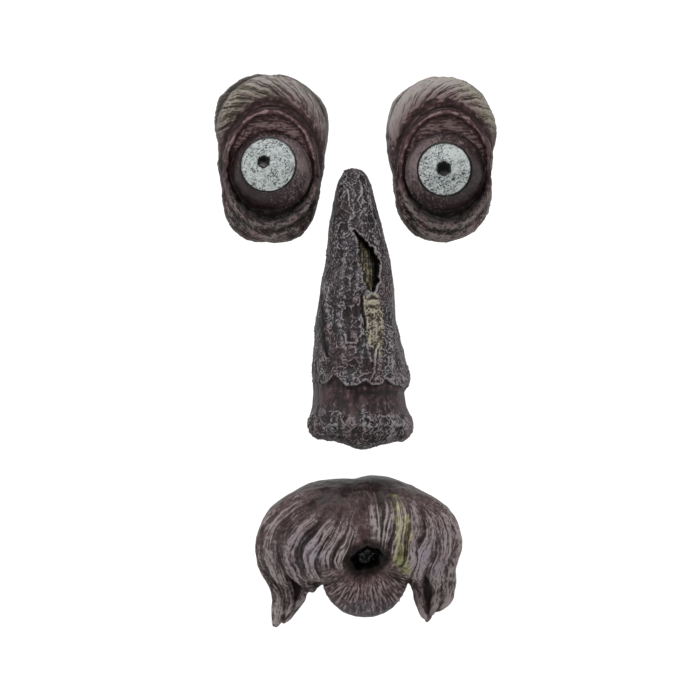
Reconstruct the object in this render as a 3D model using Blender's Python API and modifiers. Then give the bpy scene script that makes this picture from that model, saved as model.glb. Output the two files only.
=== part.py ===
"""Tree face: two eyes, a nose and a mouth of cast resin, hung on a trunk so that they make one face.

X runs to the right as the face is seen, Z up, and the face looks along -Y. The flat backs lie in the
plane Y = 0, and the origin is on the nose's back. A carving's points are given as (x, z) or (x, y, z)
in hundredths of its own width, depth and height, from the middle of its outline and from its back.
"""

import math

import bmesh
import bpy
import numpy as np
from mathutils import Matrix, Vector

# The castings, in metres
NOSE_WIDTH = 0.0685
NOSE_HEIGHT = 0.1805
NOSE_DEPTH = 0.050
EYE_LEFT_WIDTH = 0.0742
EYE_LEFT_HEIGHT = 0.1062
EYE_RIGHT_WIDTH = 0.0712
EYE_RIGHT_HEIGHT = 0.1037
EYE_DEPTH = 0.030
MOUTH_WIDTH = 0.1338
MOUTH_HEIGHT = 0.0966
MOUTH_DEPTH = 0.037

# Where they hang
EYE_LEFT_OFFSET = 0.0202
EYE_RIGHT_OFFSET = 0.0169
EYE_LEFT_RISE = 0.0595
EYE_RIGHT_RISE = 0.0583
MOUTH_GAP = 0.0173
MOUTH_OFFSET = 0.0013

# Eyeballs, lids and pupils
BALL_RADIUS = 0.0262
BALL_STANDS_PROUD = 0.0035
SOCKET_GAP = 0.0022
LID_RIM = 0.0017
LOWER_LID = 0.0042
ARCH_HEIGHT = 0.40
POUCH_DROP = 0.28
IRIS_LEFT_RADIUS = 0.0175
IRIS_RIGHT_RADIUS = 0.0168
IRIS_SINK = 0.0012
PUPIL_LEFT_RADIUS = 0.0043
PUPIL_RIGHT_RADIUS = 0.0049
PUPIL_DEPTH = 0.0030
IRIS_DOME = 0.0030
IRIS_GROOVE = 0.0006

# Bark, hair and lip
BARK_THICKNESS = 0.0026
BARK_ROUGHNESS = 0.0004
HOLLOW_DEPTH = 0.0085
CRACK_DEPTH = 0.0022
KNOB_HEIGHT = 0.0016
KNOB_RADIUS = 0.0052
FOLD_HEIGHT = 0.0010
FLANK_DEPTH = 0.0030
VEIN_HEIGHT = 0.0009
BROW_TUFTS = 10
BROW_TUFT_DEPTH = 0.0018
MOUTH_HOLE_WIDTH = 0.0190
MOUTH_HOLE_HEIGHT = 0.0135
MOUTH_HOLE_DEPTH = 0.0120
MOUTH_FLOOR = 0.0090
PHILTRUM_DEPTH = 0.0036
LIP_WRINKLE_DEPTH = 0.0007
LIP_WRINKLES = 21

# Blind holes in the backs, for the nails in the trunk
NAIL_HOLE_RADIUS = 0.0040
NAIL_HOLE_DEPTH = 0.0100
NAIL_HOLE_SIDES = 20
# How high each hole is above its casting's middle, in hundredths of the height
EYE_NAIL_HEIGHT = 34
NOSE_NAIL_HEIGHT = 28
MOUTH_NAIL_HEIGHT = 28

# How finely a casting is modelled
CLAY_VOXEL = 0.0013
BEHIND_BACK = 0.004
CUT_MARGIN = 0.02
TRIANGLES = {"nose": 2500, "eye_left": 2300, "eye_right": 2300, "mouth": 3100}


def remove_everything():
    for thing in list(bpy.data.objects):
        bpy.data.objects.remove(thing, do_unlink=True)


def new_collection(name):
    collection = bpy.data.collections.new(name)
    bpy.context.scene.collection.children.link(collection)
    return collection


def resin(name, colour, roughness):
    material = bpy.data.materials.new(name)
    material.use_nodes = True
    shader = material.node_tree.nodes["Principled BSDF"]
    shader.inputs["Base Color"].default_value = (*colour, 1.0)
    shader.inputs["Roughness"].default_value = roughness
    shader.inputs["Metallic"].default_value = 0.0
    return material


class Casting:
    """One casting's place and size, with the forms of clay that are pressed together to make it."""

    def __init__(self, middle, width, depth, height, side=1):
        self.middle = Vector(middle)
        self.width, self.depth, self.height, self.side = width, depth, height, side
        self.clay = bmesh.new()

    def at(self, x, y, z):
        """The place of a point given in hundredths of the width, depth and height."""
        share = Vector((self.side * x * self.width, -y * self.depth, z * self.height)) / 100
        return self.middle + share

    def ball(self, centre, radii):
        """Presses on an ellipsoid: its centre in hundredths, its three radii in metres."""
        place = Matrix.Translation(self.at(*centre)) @ Matrix.Diagonal((*radii, 1))
        bmesh.ops.create_uvsphere(self.clay, u_segments=40, v_segments=24, radius=1, matrix=place)

    def shaped(self, form, segments=72, rings=48):
        """Presses on a sphere whose every vertex goes where form(its direction) says."""
        made = bmesh.ops.create_uvsphere(self.clay, u_segments=segments, v_segments=rings, radius=1)
        for vertex in made["verts"]:
            vertex.co = form(vertex.co.copy())

    def rolls(self, paths):
        """Presses on tapered rolls of clay. A path is a list of (x, y, z, radius in metres)."""
        data = bpy.data.curves.new("rolls", "CURVE")
        data.dimensions = "3D"
        data.bevel_depth = 1.0
        data.bevel_resolution = 4
        data.resolution_u = 6
        data.use_fill_caps = True
        for path in paths:
            spline = data.splines.new("BEZIER")
            spline.bezier_points.add(len(path) - 1)
            for point, (x, y, z, radius) in zip(spline.bezier_points, path):
                point.co = self.at(x, y, z)
                point.radius = radius
                point.handle_left_type = point.handle_right_type = "AUTO"
        curve = bpy.data.objects.new("rolls", data)
        bpy.context.scene.collection.objects.link(curve)
        graph = bpy.context.evaluated_depsgraph_get()
        mesh = bpy.data.meshes.new_from_object(curve.evaluated_get(graph))
        self.clay.from_mesh(mesh)
        bmesh.ops.remove_doubles(self.clay, verts=self.clay.verts, dist=1e-6)
        bpy.data.objects.remove(curve)
        bpy.data.meshes.remove(mesh)

    def fired(self, name, carve, paint, collection, cutters):
        """Fuses the clay to one skin, carves it, thins it to its triangles, and cuts its back and hole."""
        rough = bpy.data.meshes.new(name + "_clay")
        self.clay.to_mesh(rough)
        self.clay.free()
        piece = bpy.data.objects.new(name, rough)
        collection.objects.link(piece)
        fuse = piece.modifiers.new("fuse", "REMESH")
        fuse.mode = "VOXEL"
        fuse.voxel_size = CLAY_VOXEL
        graph = bpy.context.evaluated_depsgraph_get()
        skin = bpy.data.meshes.new_from_object(piece.evaluated_get(graph))
        skin.name = name
        piece.modifiers.remove(fuse)
        piece.data = skin
        bpy.data.meshes.remove(rough)
        points, normals = vertices_of(skin)
        skin.vertices.foreach_set("co", carve(points, normals).astype(np.float32).ravel())
        skin.update()
        skin.materials.append(paint)
        thin = piece.modifiers.new("thin", "DECIMATE")
        thin.ratio = TRIANGLES[name] / (2 * len(skin.polygons))
        thin.use_collapse_triangulate = True
        for cutter in cutters:
            cut = piece.modifiers.new("cut " + cutter.name, "BOOLEAN")
            cut.operation = "DIFFERENCE"
            cut.object = cutter
        return piece


def vertices_of(mesh):
    count = len(mesh.vertices)
    points = np.empty(count * 3)
    normals = np.empty(count * 3)
    mesh.vertices.foreach_get("co", points)
    mesh.vertex_normals.foreach_get("vector", normals)
    return points.reshape(-1, 3), normals.reshape(-1, 3)


def helper(name, shape, collection):
    """A cutter, which the model goes without."""
    mesh = bpy.data.meshes.new(name)
    shape.to_mesh(mesh)
    shape.free()
    made = bpy.data.objects.new(name, mesh)
    collection.objects.link(made)
    made.hide_render = True
    made.display_type = "WIRE"
    return made


def trunk_cutter(name, casting, collection):
    """The trunk's side of the back plane, as a box a little larger than the casting."""
    thickness = casting.depth
    size = (casting.width + 2 * CUT_MARGIN, thickness, casting.height + 2 * CUT_MARGIN)
    shape = bmesh.new()
    bmesh.ops.create_cube(shape, size=1, matrix=Matrix.Diagonal((*size, 1)))
    made = helper(name, shape, collection)
    made.location = casting.middle + Vector((0, thickness / 2, 0))
    return made


def nail_cutter(name, spot, collection):
    """A blind round hole square to the back, which slips over a nail's head."""
    length = NAIL_HOLE_DEPTH + 2 * BEHIND_BACK
    shape = bmesh.new()
    bmesh.ops.create_cone(
        shape,
        cap_ends=True,
        segments=NAIL_HOLE_SIDES,
        radius1=NAIL_HOLE_RADIUS,
        radius2=NAIL_HOLE_RADIUS,
        depth=length,
        matrix=Matrix.Rotation(math.pi / 2, 4, "X"),
    )
    made = helper(name, shape, collection)
    made.location = Vector((spot.x, length / 2 - NAIL_HOLE_DEPTH, spot.z))
    return made


def smoothstep(low, high, value):
    share = np.clip((value - low) / (high - low), 0, 1)
    return share * share * (3 - 2 * share)


def bump(distance, width):
    """1 on the line and 0 from width away, with a round top."""
    return np.clip(1 - (distance / width) ** 2, 0, 1) ** 2


def path_distance(x, z, path):
    """How far each point is from a path of (x, z, value), and the path's value beside it."""
    path = np.asarray(path, float)
    nearest = np.full(len(x), np.inf)
    value = np.zeros(len(x))
    for (ax, az, av), (bx, bz, bv) in zip(path[:-1], path[1:]):
        along = ((x - ax) * (bx - ax) + (z - az) * (bz - az)) / ((bx - ax) ** 2 + (bz - az) ** 2)
        along = np.clip(along, 0, 1)
        distance = np.hypot(x - ax - along * (bx - ax), z - az - along * (bz - az))
        closer = distance < nearest
        nearest = np.where(closer, distance, nearest)
        value = np.where(closer, av + along * (bv - av), value)
    return nearest, value


def outline_radius(outline, angle):
    """How far the outline lies from its middle at an angle, through its points in hundredths."""
    corners = np.array(sorted((math.atan2(z, x) % math.tau, math.hypot(x, z)) for x, z in outline))
    angles = np.concatenate([corners[-1:, 0] - math.tau, corners[:, 0], corners[:1, 0] + math.tau])
    radii = np.concatenate([corners[-1:, 1], corners[:, 1], corners[:1, 1]])
    return np.interp(np.mod(angle, math.tau), angles, radii)


def dome_share(outline, sharpness, x, z):
    """A dome's depth as a share of its greatest, 0 outside its outline."""
    reach = math.hypot(x, z) / outline_radius(outline, math.atan2(z, x))
    return max(0.0, 1 - reach ** (2 * sharpness)) ** (0.9 / sharpness)


def dome(casting, outline, depth, sharpness):
    """A form with this outline in its back plane and a rounded front, flatter as it is sharper."""

    def form(direction):
        angle = math.atan2(direction.z, direction.x)
        from_axis = math.hypot(direction.x, direction.z)
        reach = outline_radius(outline, angle) * from_axis ** (1 / sharpness)
        front = depth * abs(direction.y) ** (1.8 / sharpness)
        place = casting.at(reach * math.cos(angle), front, reach * math.sin(angle))
        if direction.y > 0:
            place.y = BEHIND_BACK * direction.y
        return place

    return form


# The nose: a long bark-covered cone that ends in two wings and a tip

# Share of the height from the top, left and right edge, and depth, in hundredths
NOSE_STATIONS = (
    (0, -16, 4, 14),
    (2.8, -18.5, 6.5, 24),
    (5.7, -22, 10, 32),
    (8.5, -24, 12, 38),
    (14, -26.5, 15.5, 44),
    (20, -29.5, 20, 50),
    (34, -33, 28.5, 60),
    (43, -38, 32, 68),
    (54, -42.5, 33.5, 75),
    (62, -43.5, 38, 81),
    (71, -46, 44.5, 88),
    (75, -45.5, 47, 93),
    (77.5, -45.5, 46, 94),
    (80, -45, 41.5, 93),
    (85, -46, 43.5, 96),
    (88, -48, 47, 100),
    (91, -49.5, 50, 100),
    (94.5, -48.5, 49, 92),
    (96.2, -40, 44, 84),
    (97.2, -25, 38, 78),
    (98.5, -14, 21, 68),
    (100, -4, 8, 54),
)
NOSE_TOP_ROUND = 0.030
NOSE_FOOT_ROUND = 0.012
# The bark's lower edge, from the left side to the right, as (x, z)
BARK_EDGE = (
    (-60, -26),
    (-45, -26),
    (-36, -25),
    (-29, -21.5),
    (-21, -26),
    (-9, -27.5),
    (3, -25),
    (14, -25.5),
    (24, -22.5),
    (33, -26),
    (48, -28.5),
    (60, -28),
)
# A split in the bark, the cracked strip below it, the crack beside that and a groove in the left
# flank, as (x, z, half width in millimetres)
HOLLOW = (
    (-6.5, 27, 0.6),
    (-2, 25, 1.0),
    (1.2, 23, 3.0),
    (4.4, 20, 4.6),
    (8.4, 15.2, 6.0),
    (9.6, 9.5, 4.8),
    (9.8, 7.4, 3.6),
)
STRIP = ((10.5, 2.0, 5.6), (12, -5, 6.4), (14, -12, 5.0), (16, -16, 2.6))
CRACK = ((0.5, 4, 0.8), (0.8, 0, 1.4), (3.6, -4.5, 1.2), (4.4, -8, 0.8))
FLANK_GROOVE = ((-37, 6, 0.8), (-34, -3, 1.8), (-33.5, -12, 2.0), (-31, -17, 0.9))
KNOB = (10.7, 1.8)
# Raised veins of the bark, down its top and beside the strip
VEINS = (
    ((-1.4, 47, 1.2), (0.5, 43.6, 1.4), (0.5, 40, 1.4), (-2.3, 38, 1.4), (0.5, 35.5, 1.2)),
    ((16.4, -13, 1.2), (12.6, -17, 1.4), (12.6, -22.7, 1.4), (8.9, -25.5, 1.2)),
)


def nose_form(casting):
    stations = np.array(NOSE_STATIONS, float)

    def form(direction):
        share = (1 - direction.z) / 2
        left, right, depth = (np.interp(100 * share, stations[:, 0], stations[:, k]) for k in (1, 2, 3))
        closing = min(1.0, share / NOSE_TOP_ROUND, (1 - share) / NOSE_FOOT_ROUND)
        closing = math.sqrt(max(0.0, 1 - (1 - closing) ** 2))
        around = math.atan2(direction.y, direction.x)
        middle, half = (left + right) / 2, (right - left) / 2
        across = math.copysign(abs(math.cos(around)) ** 0.85, math.cos(around))
        forward = abs(math.sin(around)) ** 0.9
        x = middle + half * across * closing
        place = casting.at(x, depth * forward * closing, 50 - 100 * share)
        if direction.y > 0:
            place.y = BEHIND_BACK * forward * closing
        return place

    return form


def carve_nose(casting):
    width, height = casting.width / 100, casting.height / 100

    def metres(path):
        return [(x * width, z * height, v / 1000) for x, z, v in path]

    def carve(points, normals):
        x = points[:, 0] - casting.middle.x
        z = points[:, 2] - casting.middle.z
        front = np.clip(-normals[:, 1], 0, 1)
        edge = np.interp(x, [p[0] * width for p in BARK_EDGE], [p[1] * height for p in BARK_EDGE])
        bare = 1 - smoothstep(-0.0008, 0.0008, z - edge)
        bare *= 1 - 0.9 * smoothstep(0.010, 0.024, edge - z)
        plates = np.sin(x * 420 + 3 * np.sin(z * 130)) * np.sin(z * 260 + 2 * np.sin(x * 170))
        folds = np.sin(x * 560 + 5 * np.sin(z * 60)) * np.cos(z * 90 + x * 150)
        rough = (BARK_ROUGHNESS * plates + FOLD_HEIGHT * folds * front) * (z > edge)
        rough -= BARK_THICKNESS * bare * np.sqrt(front)
        knob = np.hypot(x - KNOB[0] * width, 1.9 * (z - KNOB[1] * height))
        rough += KNOB_HEIGHT * bump(knob, KNOB_RADIUS)
        for vein in VEINS:
            distance, half = path_distance(x, z, metres(vein))
            rough += VEIN_HEIGHT * bump(distance, 1.5 * half)
        moved = points + normals * rough[:, None]
        distance, half = path_distance(x, z, metres(HOLLOW))
        deepening = HOLLOW_DEPTH * smoothstep(-0.0004, 0.0016, half - distance)
        distance, half = path_distance(x, z, metres(STRIP))
        deepening += 0.5 * CRACK_DEPTH * bump(half - distance, 0.0012)
        distance, half = path_distance(x, z, metres(CRACK))
        deepening += CRACK_DEPTH * bump(distance, 1.6 * half)
        distance, half = path_distance(x, z, metres(FLANK_GROOVE))
        deepening += FLANK_DEPTH * bump(distance, 2 * half)
        moved[:, 1] += deepening * front
        return moved

    return carve


def model_nose(collection, cutters):
    nose = Casting((0, 0, 0), NOSE_WIDTH, NOSE_DEPTH, NOSE_HEIGHT)
    nose.shaped(nose_form(nose), segments=64, rings=96)
    wing = NOSE_WIDTH * 0.13
    nose.ball((-36.5, 34, -41.0), (wing, NOSE_DEPTH * 0.34, wing * 1.15))
    nose.ball((36.5, 34, -41.5), (wing, NOSE_DEPTH * 0.36, wing * 1.20))
    nose.ball((2, 50, -39.0), (NOSE_WIDTH * 0.27, NOSE_DEPTH * 0.50, NOSE_HEIGHT * 0.105))
    nail = nail_cutter("nose_nail_hole", nose.at(-5, 0, NOSE_NAIL_HEIGHT), cutters)
    back = trunk_cutter("nose_back_cut", nose, cutters)
    bark = resin("bark_grey_resin", (0.085, 0.072, 0.072), 0.62)
    return nose.fired("nose", carve_nose(nose), bark, collection, [back, nail])


# The eyes: a bulging ball in a socket with rolled lids, under a swept brow. x is + on the outer side

LEFT_OUTLINE = (
    (1, 50),
    (-27, 45),
    (-36.5, 40),
    (-43, 35.5),
    (-47.5, 30.5),
    (-50, 21),
    (-49, 11.5),
    (-46.5, 2),
    (-42, -17.5),
    (-36, -37),
    (-25.5, -46.5),
    (2.5, -50),
    (27.5, -46.5),
    (34.5, -41.5),
    (39.5, -36.5),
    (43, -17.5),
    (46.5, -1),
    (46, 7.5),
    (50, 21),
    (46.5, 35.5),
    (31, 45.5),
)
RIGHT_OUTLINE = (
    (2.7, 50),
    (-26.5, 45),
    (-37.5, 40),
    (-44.5, 35),
    (-50, 20),
    (-50, 10.5),
    (-44.5, -9.5),
    (-42, -24),
    (-39, -34),
    (-29, -44),
    (-10, -50),
    (13, -49.5),
    (30, -44),
    (41, -34),
    (44.5, -24),
    (44.5, -9.5),
    (46.5, 4.5),
    (50, 15.5),
    (48, 25),
    (44.5, 30),
    (36.5, 40),
    (27.5, 45),
)
EYE_BASE_DEPTH = 52
EYE_EDGE_SHARPNESS = 3.0
# How far out a lid's middle line may lie, so that the lids stay inside the outline
SOCKET_EDGE = 40.5
BROW_ARC = (
    (38, 28, 9, 0.0060),
    (34.5, 46, 22, 0.0088),
    (20, 60, 34, 0.0102),
    (0, 64, 38.5, 0.0106),
    (-22, 58, 33.5, 0.0102),
    (-36, 42, 20, 0.0084),
    (-40, 24, 6, 0.0056),
)
# Rolls over the ball (1) or under it (-1): how far beyond the ball the roll's middle reaches as a share
# of its radius, its depth at the corners and the middle, and its radius at the corners and the middle
LIDS = (
    (1, 0.5 * ARCH_HEIGHT, 40, 54, 1.2 * LID_RIM, 3.8 * LID_RIM),
    (1, ARCH_HEIGHT, 56, 90, 0.7 * LID_RIM, LID_RIM),
    (1, 1.12 * ARCH_HEIGHT, 42, 74, 1.4 * LID_RIM, 2.4 * LID_RIM),
    (1, 1.55 * ARCH_HEIGHT, 38, 80, 1.0 * LID_RIM, 1.7 * LID_RIM),
    (-1, POUCH_DROP, 42, 56, 0.55 * LOWER_LID, 0.95 * LOWER_LID),
    (-1, 1.86 * POUCH_DROP, 24, 38, 0.55 * LOWER_LID, 1.05 * LOWER_LID),
)
LID_STEPS = 16
# How far the rolls run on past the ball's middle, in degrees
LID_CORNER = 34
POUCH_CORNER = 8
# The brow's tufts start at the lid and sweep towards the outer side; angles are from that side
BROW_FIRST_ANGLE = 61
BROW_LAST_ANGLE = 160
BROW_SWEEP = 28
# Over the middle of the eye the hair starts this much higher above the lid
BARE_LID = 0.30


def socket_ring(casting, ball, turn, radius_x, radius_z):
    """A point on an ellipse round the ball, in hundredths, at an angle from the outer side."""
    x, z = ball
    across = x + 100 * radius_x * math.cos(turn) / casting.width
    return min(across, SOCKET_EDGE), z + 100 * radius_z * math.sin(turn) / casting.height


def lid_rolls(casting, ball):
    """The upper lid's body, its thin rim and the folds over it, and the lower lid's two pouches."""
    rolls = []
    for way, beyond, corner_depth, depth, corner_radius, radius in LIDS:
        roll = []
        corner = LID_CORNER if way > 0 else POUCH_CORNER
        for step in range(LID_STEPS + 1):
            turn = math.radians((180 * way + 2 * corner) * step / LID_STEPS - corner)
            rise = max(-0.3, way * math.sin(turn))
            x, z = socket_ring(casting, ball, turn, BALL_RADIUS + SOCKET_GAP, BALL_RADIUS * (1 + beyond))
            thickness = corner_radius + (radius - corner_radius) * max(0, rise)
            roll.append((x, corner_depth + (depth - corner_depth) * rise, z, thickness))
        rolls.append(roll)
    return rolls


def brow_tuft(casting, points, centre):
    """Each point's place across the brow's tufts, whole numbers on their crests, and how far it is hair."""
    x = casting.side * (points[:, 0] - centre[0])
    z = points[:, 2] - centre[2]
    turn = np.degrees(np.arctan2(z, x))
    turn = np.where(turn < -90, turn + 360, turn)
    lid = np.hypot(np.cos(np.radians(turn)) * 1.1, np.sin(np.radians(turn)) * (1.1 + ARCH_HEIGHT))
    along = (np.hypot(x, z) / BALL_RADIUS - lid) / 0.6
    tuft = (turn + BROW_SWEEP * along - BROW_FIRST_ANGLE) / (BROW_LAST_ANGLE - BROW_FIRST_ANGLE)
    along -= BARE_LID * bump(tuft - 0.55, 0.75)
    hair = smoothstep(0.05, 0.30, along) * smoothstep(-0.12, -0.02, tuft) * smoothstep(-1.12, -1.0, -tuft)
    hair = hair * smoothstep(0.001, 0.008, -points[:, 1])
    return tuft * (BROW_TUFTS - 1), hair


def carve_eye(casting, gaze, iris_radius, pupil, pupil_radius, centre):
    """Flattens the iris, sinks the pupil in it, and draws a groove round the iris."""
    aim = Vector((casting.side * gaze[0], -1, gaze[1])).normalized()
    spot = Vector((casting.side * pupil[0], 0, pupil[1]))

    def carve(points, normals):
        axis = np.array(aim)
        beside = points - np.array(centre)
        forward = beside @ axis
        across = beside - forward[:, None] * axis
        from_axis = np.linalg.norm(across, axis=1)
        flat = math.sqrt(BALL_RADIUS**2 - iris_radius**2) - IRIS_SINK
        flat = flat + IRIS_DOME * np.clip(1 - (from_axis / iris_radius) ** 2, 0, 1)
        on_iris = (1 - smoothstep(iris_radius - 0.0009, iris_radius, from_axis)) * (forward > 0)
        moved = points + axis * (np.minimum(0, flat - forward) * on_iris)[:, None]
        groove = bump(from_axis - iris_radius, 0.0013) * (forward > 0)
        moved -= axis * (IRIS_GROOVE * groove)[:, None]
        from_pupil = np.linalg.norm(across - np.array(spot), axis=1)
        sink = (1 - smoothstep(0.75 * pupil_radius, pupil_radius, from_pupil)) * (forward > 0)
        moved -= axis * (PUPIL_DEPTH * sink)[:, None]
        tuft, on_brow = brow_tuft(casting, points, centre)
        crease = np.abs(np.cos(np.pi * tuft)) ** 0.6 - 0.75
        return moved + normals * (BROW_TUFT_DEPTH * crease * on_brow)[:, None]

    return carve


def model_eye(name, eye, collection, cutters):
    side = eye["side"]
    middle = (
        side * (eye["offset"] + eye["width"] / 2),
        0,
        NOSE_HEIGHT / 2 + eye["rise"] - eye["height"] / 2,
    )
    casting = Casting(middle, eye["width"], EYE_DEPTH, eye["height"], side)
    casting.shaped(dome(casting, eye["outline"], EYE_BASE_DEPTH, EYE_EDGE_SHARPNESS), rings=40)
    casting.rolls([BROW_ARC])
    casting.rolls(lid_rolls(casting, eye["ball"]))
    ball_x, ball_z = eye["ball"]
    ball_depth = EYE_DEPTH + BALL_STANDS_PROUD - BALL_RADIUS
    ball_centre = (ball_x, 100 * ball_depth / EYE_DEPTH, ball_z)
    casting.ball(ball_centre, (BALL_RADIUS, BALL_RADIUS, BALL_RADIUS))
    nail = nail_cutter(name + "_nail_hole", casting.at(0, 0, EYE_NAIL_HEIGHT), cutters)
    back = trunk_cutter(name + "_back_cut", casting, cutters)
    skin = resin(name + "_resin", (0.095, 0.066, 0.066), 0.5)
    carve = carve_eye(
        casting, eye["gaze"], eye["iris"], eye["pupil"], eye["pupil_radius"], casting.at(*ball_centre)
    )
    return casting.fired(name, carve, skin, collection, [back, nail])


EYES = {
    "eye_left": {
        "side": -1,
        "outline": LEFT_OUTLINE,
        "width": EYE_LEFT_WIDTH,
        "height": EYE_LEFT_HEIGHT,
        "offset": EYE_LEFT_OFFSET,
        "rise": EYE_LEFT_RISE,
        "ball": (0, -8.4),
        "gaze": (0.075, 0.175),
        "iris": IRIS_LEFT_RADIUS,
        "pupil": (0.0027, 0.0015),
        "pupil_radius": PUPIL_LEFT_RADIUS,
    },
    "eye_right": {
        "side": 1,
        "outline": RIGHT_OUTLINE,
        "width": EYE_RIGHT_WIDTH,
        "height": EYE_RIGHT_HEIGHT,
        "offset": EYE_RIGHT_OFFSET,
        "rise": EYE_RIGHT_RISE,
        "ball": (2.7, -8.6),
        "gaze": (-0.055, 0.03),
        "iris": IRIS_RIGHT_RADIUS,
        "pupil": (-0.0004, 0.0002),
        "pupil_radius": PUPIL_RIGHT_RADIUS,
    },
}


# The mouth: a swept moustache over a pouting lower lip. A lock is (x, z, radius in millimetres)

MOUTH_OUTLINE = (
    (5.5, 50),
    (-2, 47.5),
    (-12, 47.5),
    (-24, 44.7),
    (-31, 39.4),
    (-37.6, 34),
    (-42.3, 28.8),
    (-47, 18),
    (-49.5, 7.5),
    (-49.5, -3),
    (-44, -13),
    (-32, -18),
    (-18, -20),
    (3, -22),
    (22, -18),
    (34, -16),
    (44, -14),
    (48, -3),
    (50, 7.5),
    (48, 18),
    (43, 28.8),
    (38, 34),
    (31, 39.4),
    (22.7, 44.7),
    (14, 49),
)
MOUTH_MASS_DEPTH = 88
MOUTH_EDGE_SHARPNESS = 2.0
# A lock's middle line, in its own radii, below the mass that it lies on and off the trunk beyond it
LOCK_SUNK = 0.45
LOCK_LIFT = 1.25
LOCKS = (
    ((-9, 43.5, 1.6), (-27, 35.8, 4.4), (-38.8, 25.4, 5), (-45.5, 9.6, 5), (-45.7, -4.3, 5),
     (-42.3, -16.9, 5), (-38.4, -29, 5), (-38.8, -39, 4.8), (-39.6, -46, 3.8), (-40.2, -50.2, 1.8)),
    ((-8.4, 41, 2.4), (-26.1, 32.1, 5), (-37.6, 19.5, 5.4), (-41.4, 3.6, 5.6), (-39, -10.9, 5.4),
     (-34.7, -24.2, 4.8), (-33.6, -35.4, 4.4), (-35.4, -44, 3.4), (-36.2, -48, 1.4)),
    ((-8.4, 38, 2.4), (-22.7, 20.2, 5), (-32.3, 3.6, 5.2), (-32.3, -7.6, 5), (-27.5, -18.2, 4),
     (-21.1, -26.8, 2.4)),
    ((-6.7, 36, 2.4), (-15.1, 15.6, 5), (-22.7, -0.3, 5), (-22.5, -10.3, 4.2), (-18.9, -16.9, 2.6)),
    ((-4.5, 33.4, 2.4), (-9.8, 12.3, 4.6), (-16, -1.7, 4.4), (-15.3, -13.6, 2.8)),
    ((-1.7, 28, 2), (-4.3, 10.9, 4.4), (-8.6, -3.6, 4), (-7.9, -10.9, 2.6)),
    ((-0.2, 19, 1.6), (-2.4, 3.6, 3.4), (-5.5, -7, 2.2)),
    ((5, 43, 2), (7.7, 32.1, 4.2), (8.9, 16.9, 4.4), (8.6, 5.6, 2.6)),
    ((11.5, 42, 2.4), (14.1, 28.1, 4.8), (12.9, 13.6, 4.6), (11.2, 1.7, 2.6)),
    ((15, 42, 2.4), (19.9, 31.5, 5), (20.3, 18.2, 5), (18.4, 4.3, 4.4), (16.5, -4.3, 2.6)),
    ((18, 41.5, 2.4), (25.6, 28.8, 5), (26.8, 15.6, 5.2), (25.4, 3.6, 5), (26.6, -5.6, 4.4),
     (22.7, -11.6, 3.6), (18.7, -13.6, 2.4)),
    ((19.5, 40.6, 2.4), (30.4, 30, 5), (34.2, 17.4, 5.4), (32.3, 4.3, 5.4), (29.4, -7.6, 4.8),
     (29.4, -22.2, 3.8), (31.1, -34.8, 3.6), (32.8, -43, 2.8), (33.2, -47.4, 1.2)),
    ((20.6, 40.6, 2.4), (34.4, 28.6, 5), (40.2, 16.4, 5.4), (40, 2.3, 5.6), (36.6, -10.3, 5.4),
     (38, -23.5, 4.8), (36.6, -34.8, 4), (34.8, -41, 3), (33.8, -46, 1.2)),
    ((21, 42, 1.6), (36, 31, 4.2), (43.4, 19, 4.8), (46.2, 7, 5), (43.5, -8.9, 5),
     (43.6, -22.6, 4.8), (43.2, -31, 4), (39.6, -37.5, 2.8), (35.6, -41, 1.2)),
)
# The hollow inner sides of the moustache's two tips, and the thin locks along their inner edges
WEBS = (
    ((-32.4, -11, 5.4), (-31.4, -25.5, 5.6), (-32.4, -34, 5), (-35.4, -43, 3.6), (-36, -46, 1.4)),
    ((-22.2, -14, 5), (-19.6, -22, 4.2), (-18.6, -24, 2)),
    ((33.7, -12, 5.4), (34, -25.5, 5.6), (33.4, -36, 4.2), (33.2, -41, 2)),
)
TIP_EDGES = (
    ((-26.4, -18, 2.2), (-27.2, -30, 3), (-31.2, -38, 2.8), (-34, -44.4, 2.4), (-35, -47.4, 1)),
    ((24.6, -15.6, 2.4), (27, -24.2, 2.8), (29.6, -36.1, 2.8), (31.8, -43, 2.4), (32.8, -46, 1)),
)
# How far off the trunk their middle lines lie, in metres
WEB_STAND = 0.0018
TIP_EDGE_STAND = 0.0054
# The groove under the nose, as (x, z, half width in millimetres)
PHILTRUM = ((1.0, 36, 3.0), (1.2, 18, 5.6), (2.8, 3, 7.0))


def carve_mouth(casting, hole, lip):
    def carve(points, normals):
        x = points[:, 0] - hole.x
        z = points[:, 2] - hole.z
        front = np.clip(-normals[:, 1], 0, 1)
        from_hole = np.hypot(x / (MOUTH_HOLE_WIDTH / 2), z / (MOUTH_HOLE_HEIGHT / 2))
        width, height = casting.width / 100, casting.height / 100
        distance, half = path_distance(
            points[:, 0] - casting.middle.x,
            points[:, 2] - casting.middle.z,
            [(px * width, pz * height, r / 1000) for px, pz, r in PHILTRUM],
        )
        moved = points.copy()
        moved[:, 1] += PHILTRUM_DEPTH * bump(distance, 1.6 * half) * front
        moved[:, 1] += MOUTH_HOLE_DEPTH * (1 - smoothstep(0.55, 1.15, from_hole)) * front
        moved[:, 1] = np.minimum(moved[:, 1], np.maximum(points[:, 1], -MOUTH_FLOOR))
        on_lip = smoothstep(1.2, 1.7, from_hole) * smoothstep(0.001, 0.005, lip.z + 0.004 - points[:, 2])
        on_lip *= bump(points[:, 0] - lip.x, 0.045)
        wrinkles = np.cos(np.arctan2(x, -z) * 2 * LIP_WRINKLES)
        return moved + normals * (LIP_WRINKLE_DEPTH * wrinkles * on_lip)[:, None]

    return carve


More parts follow.
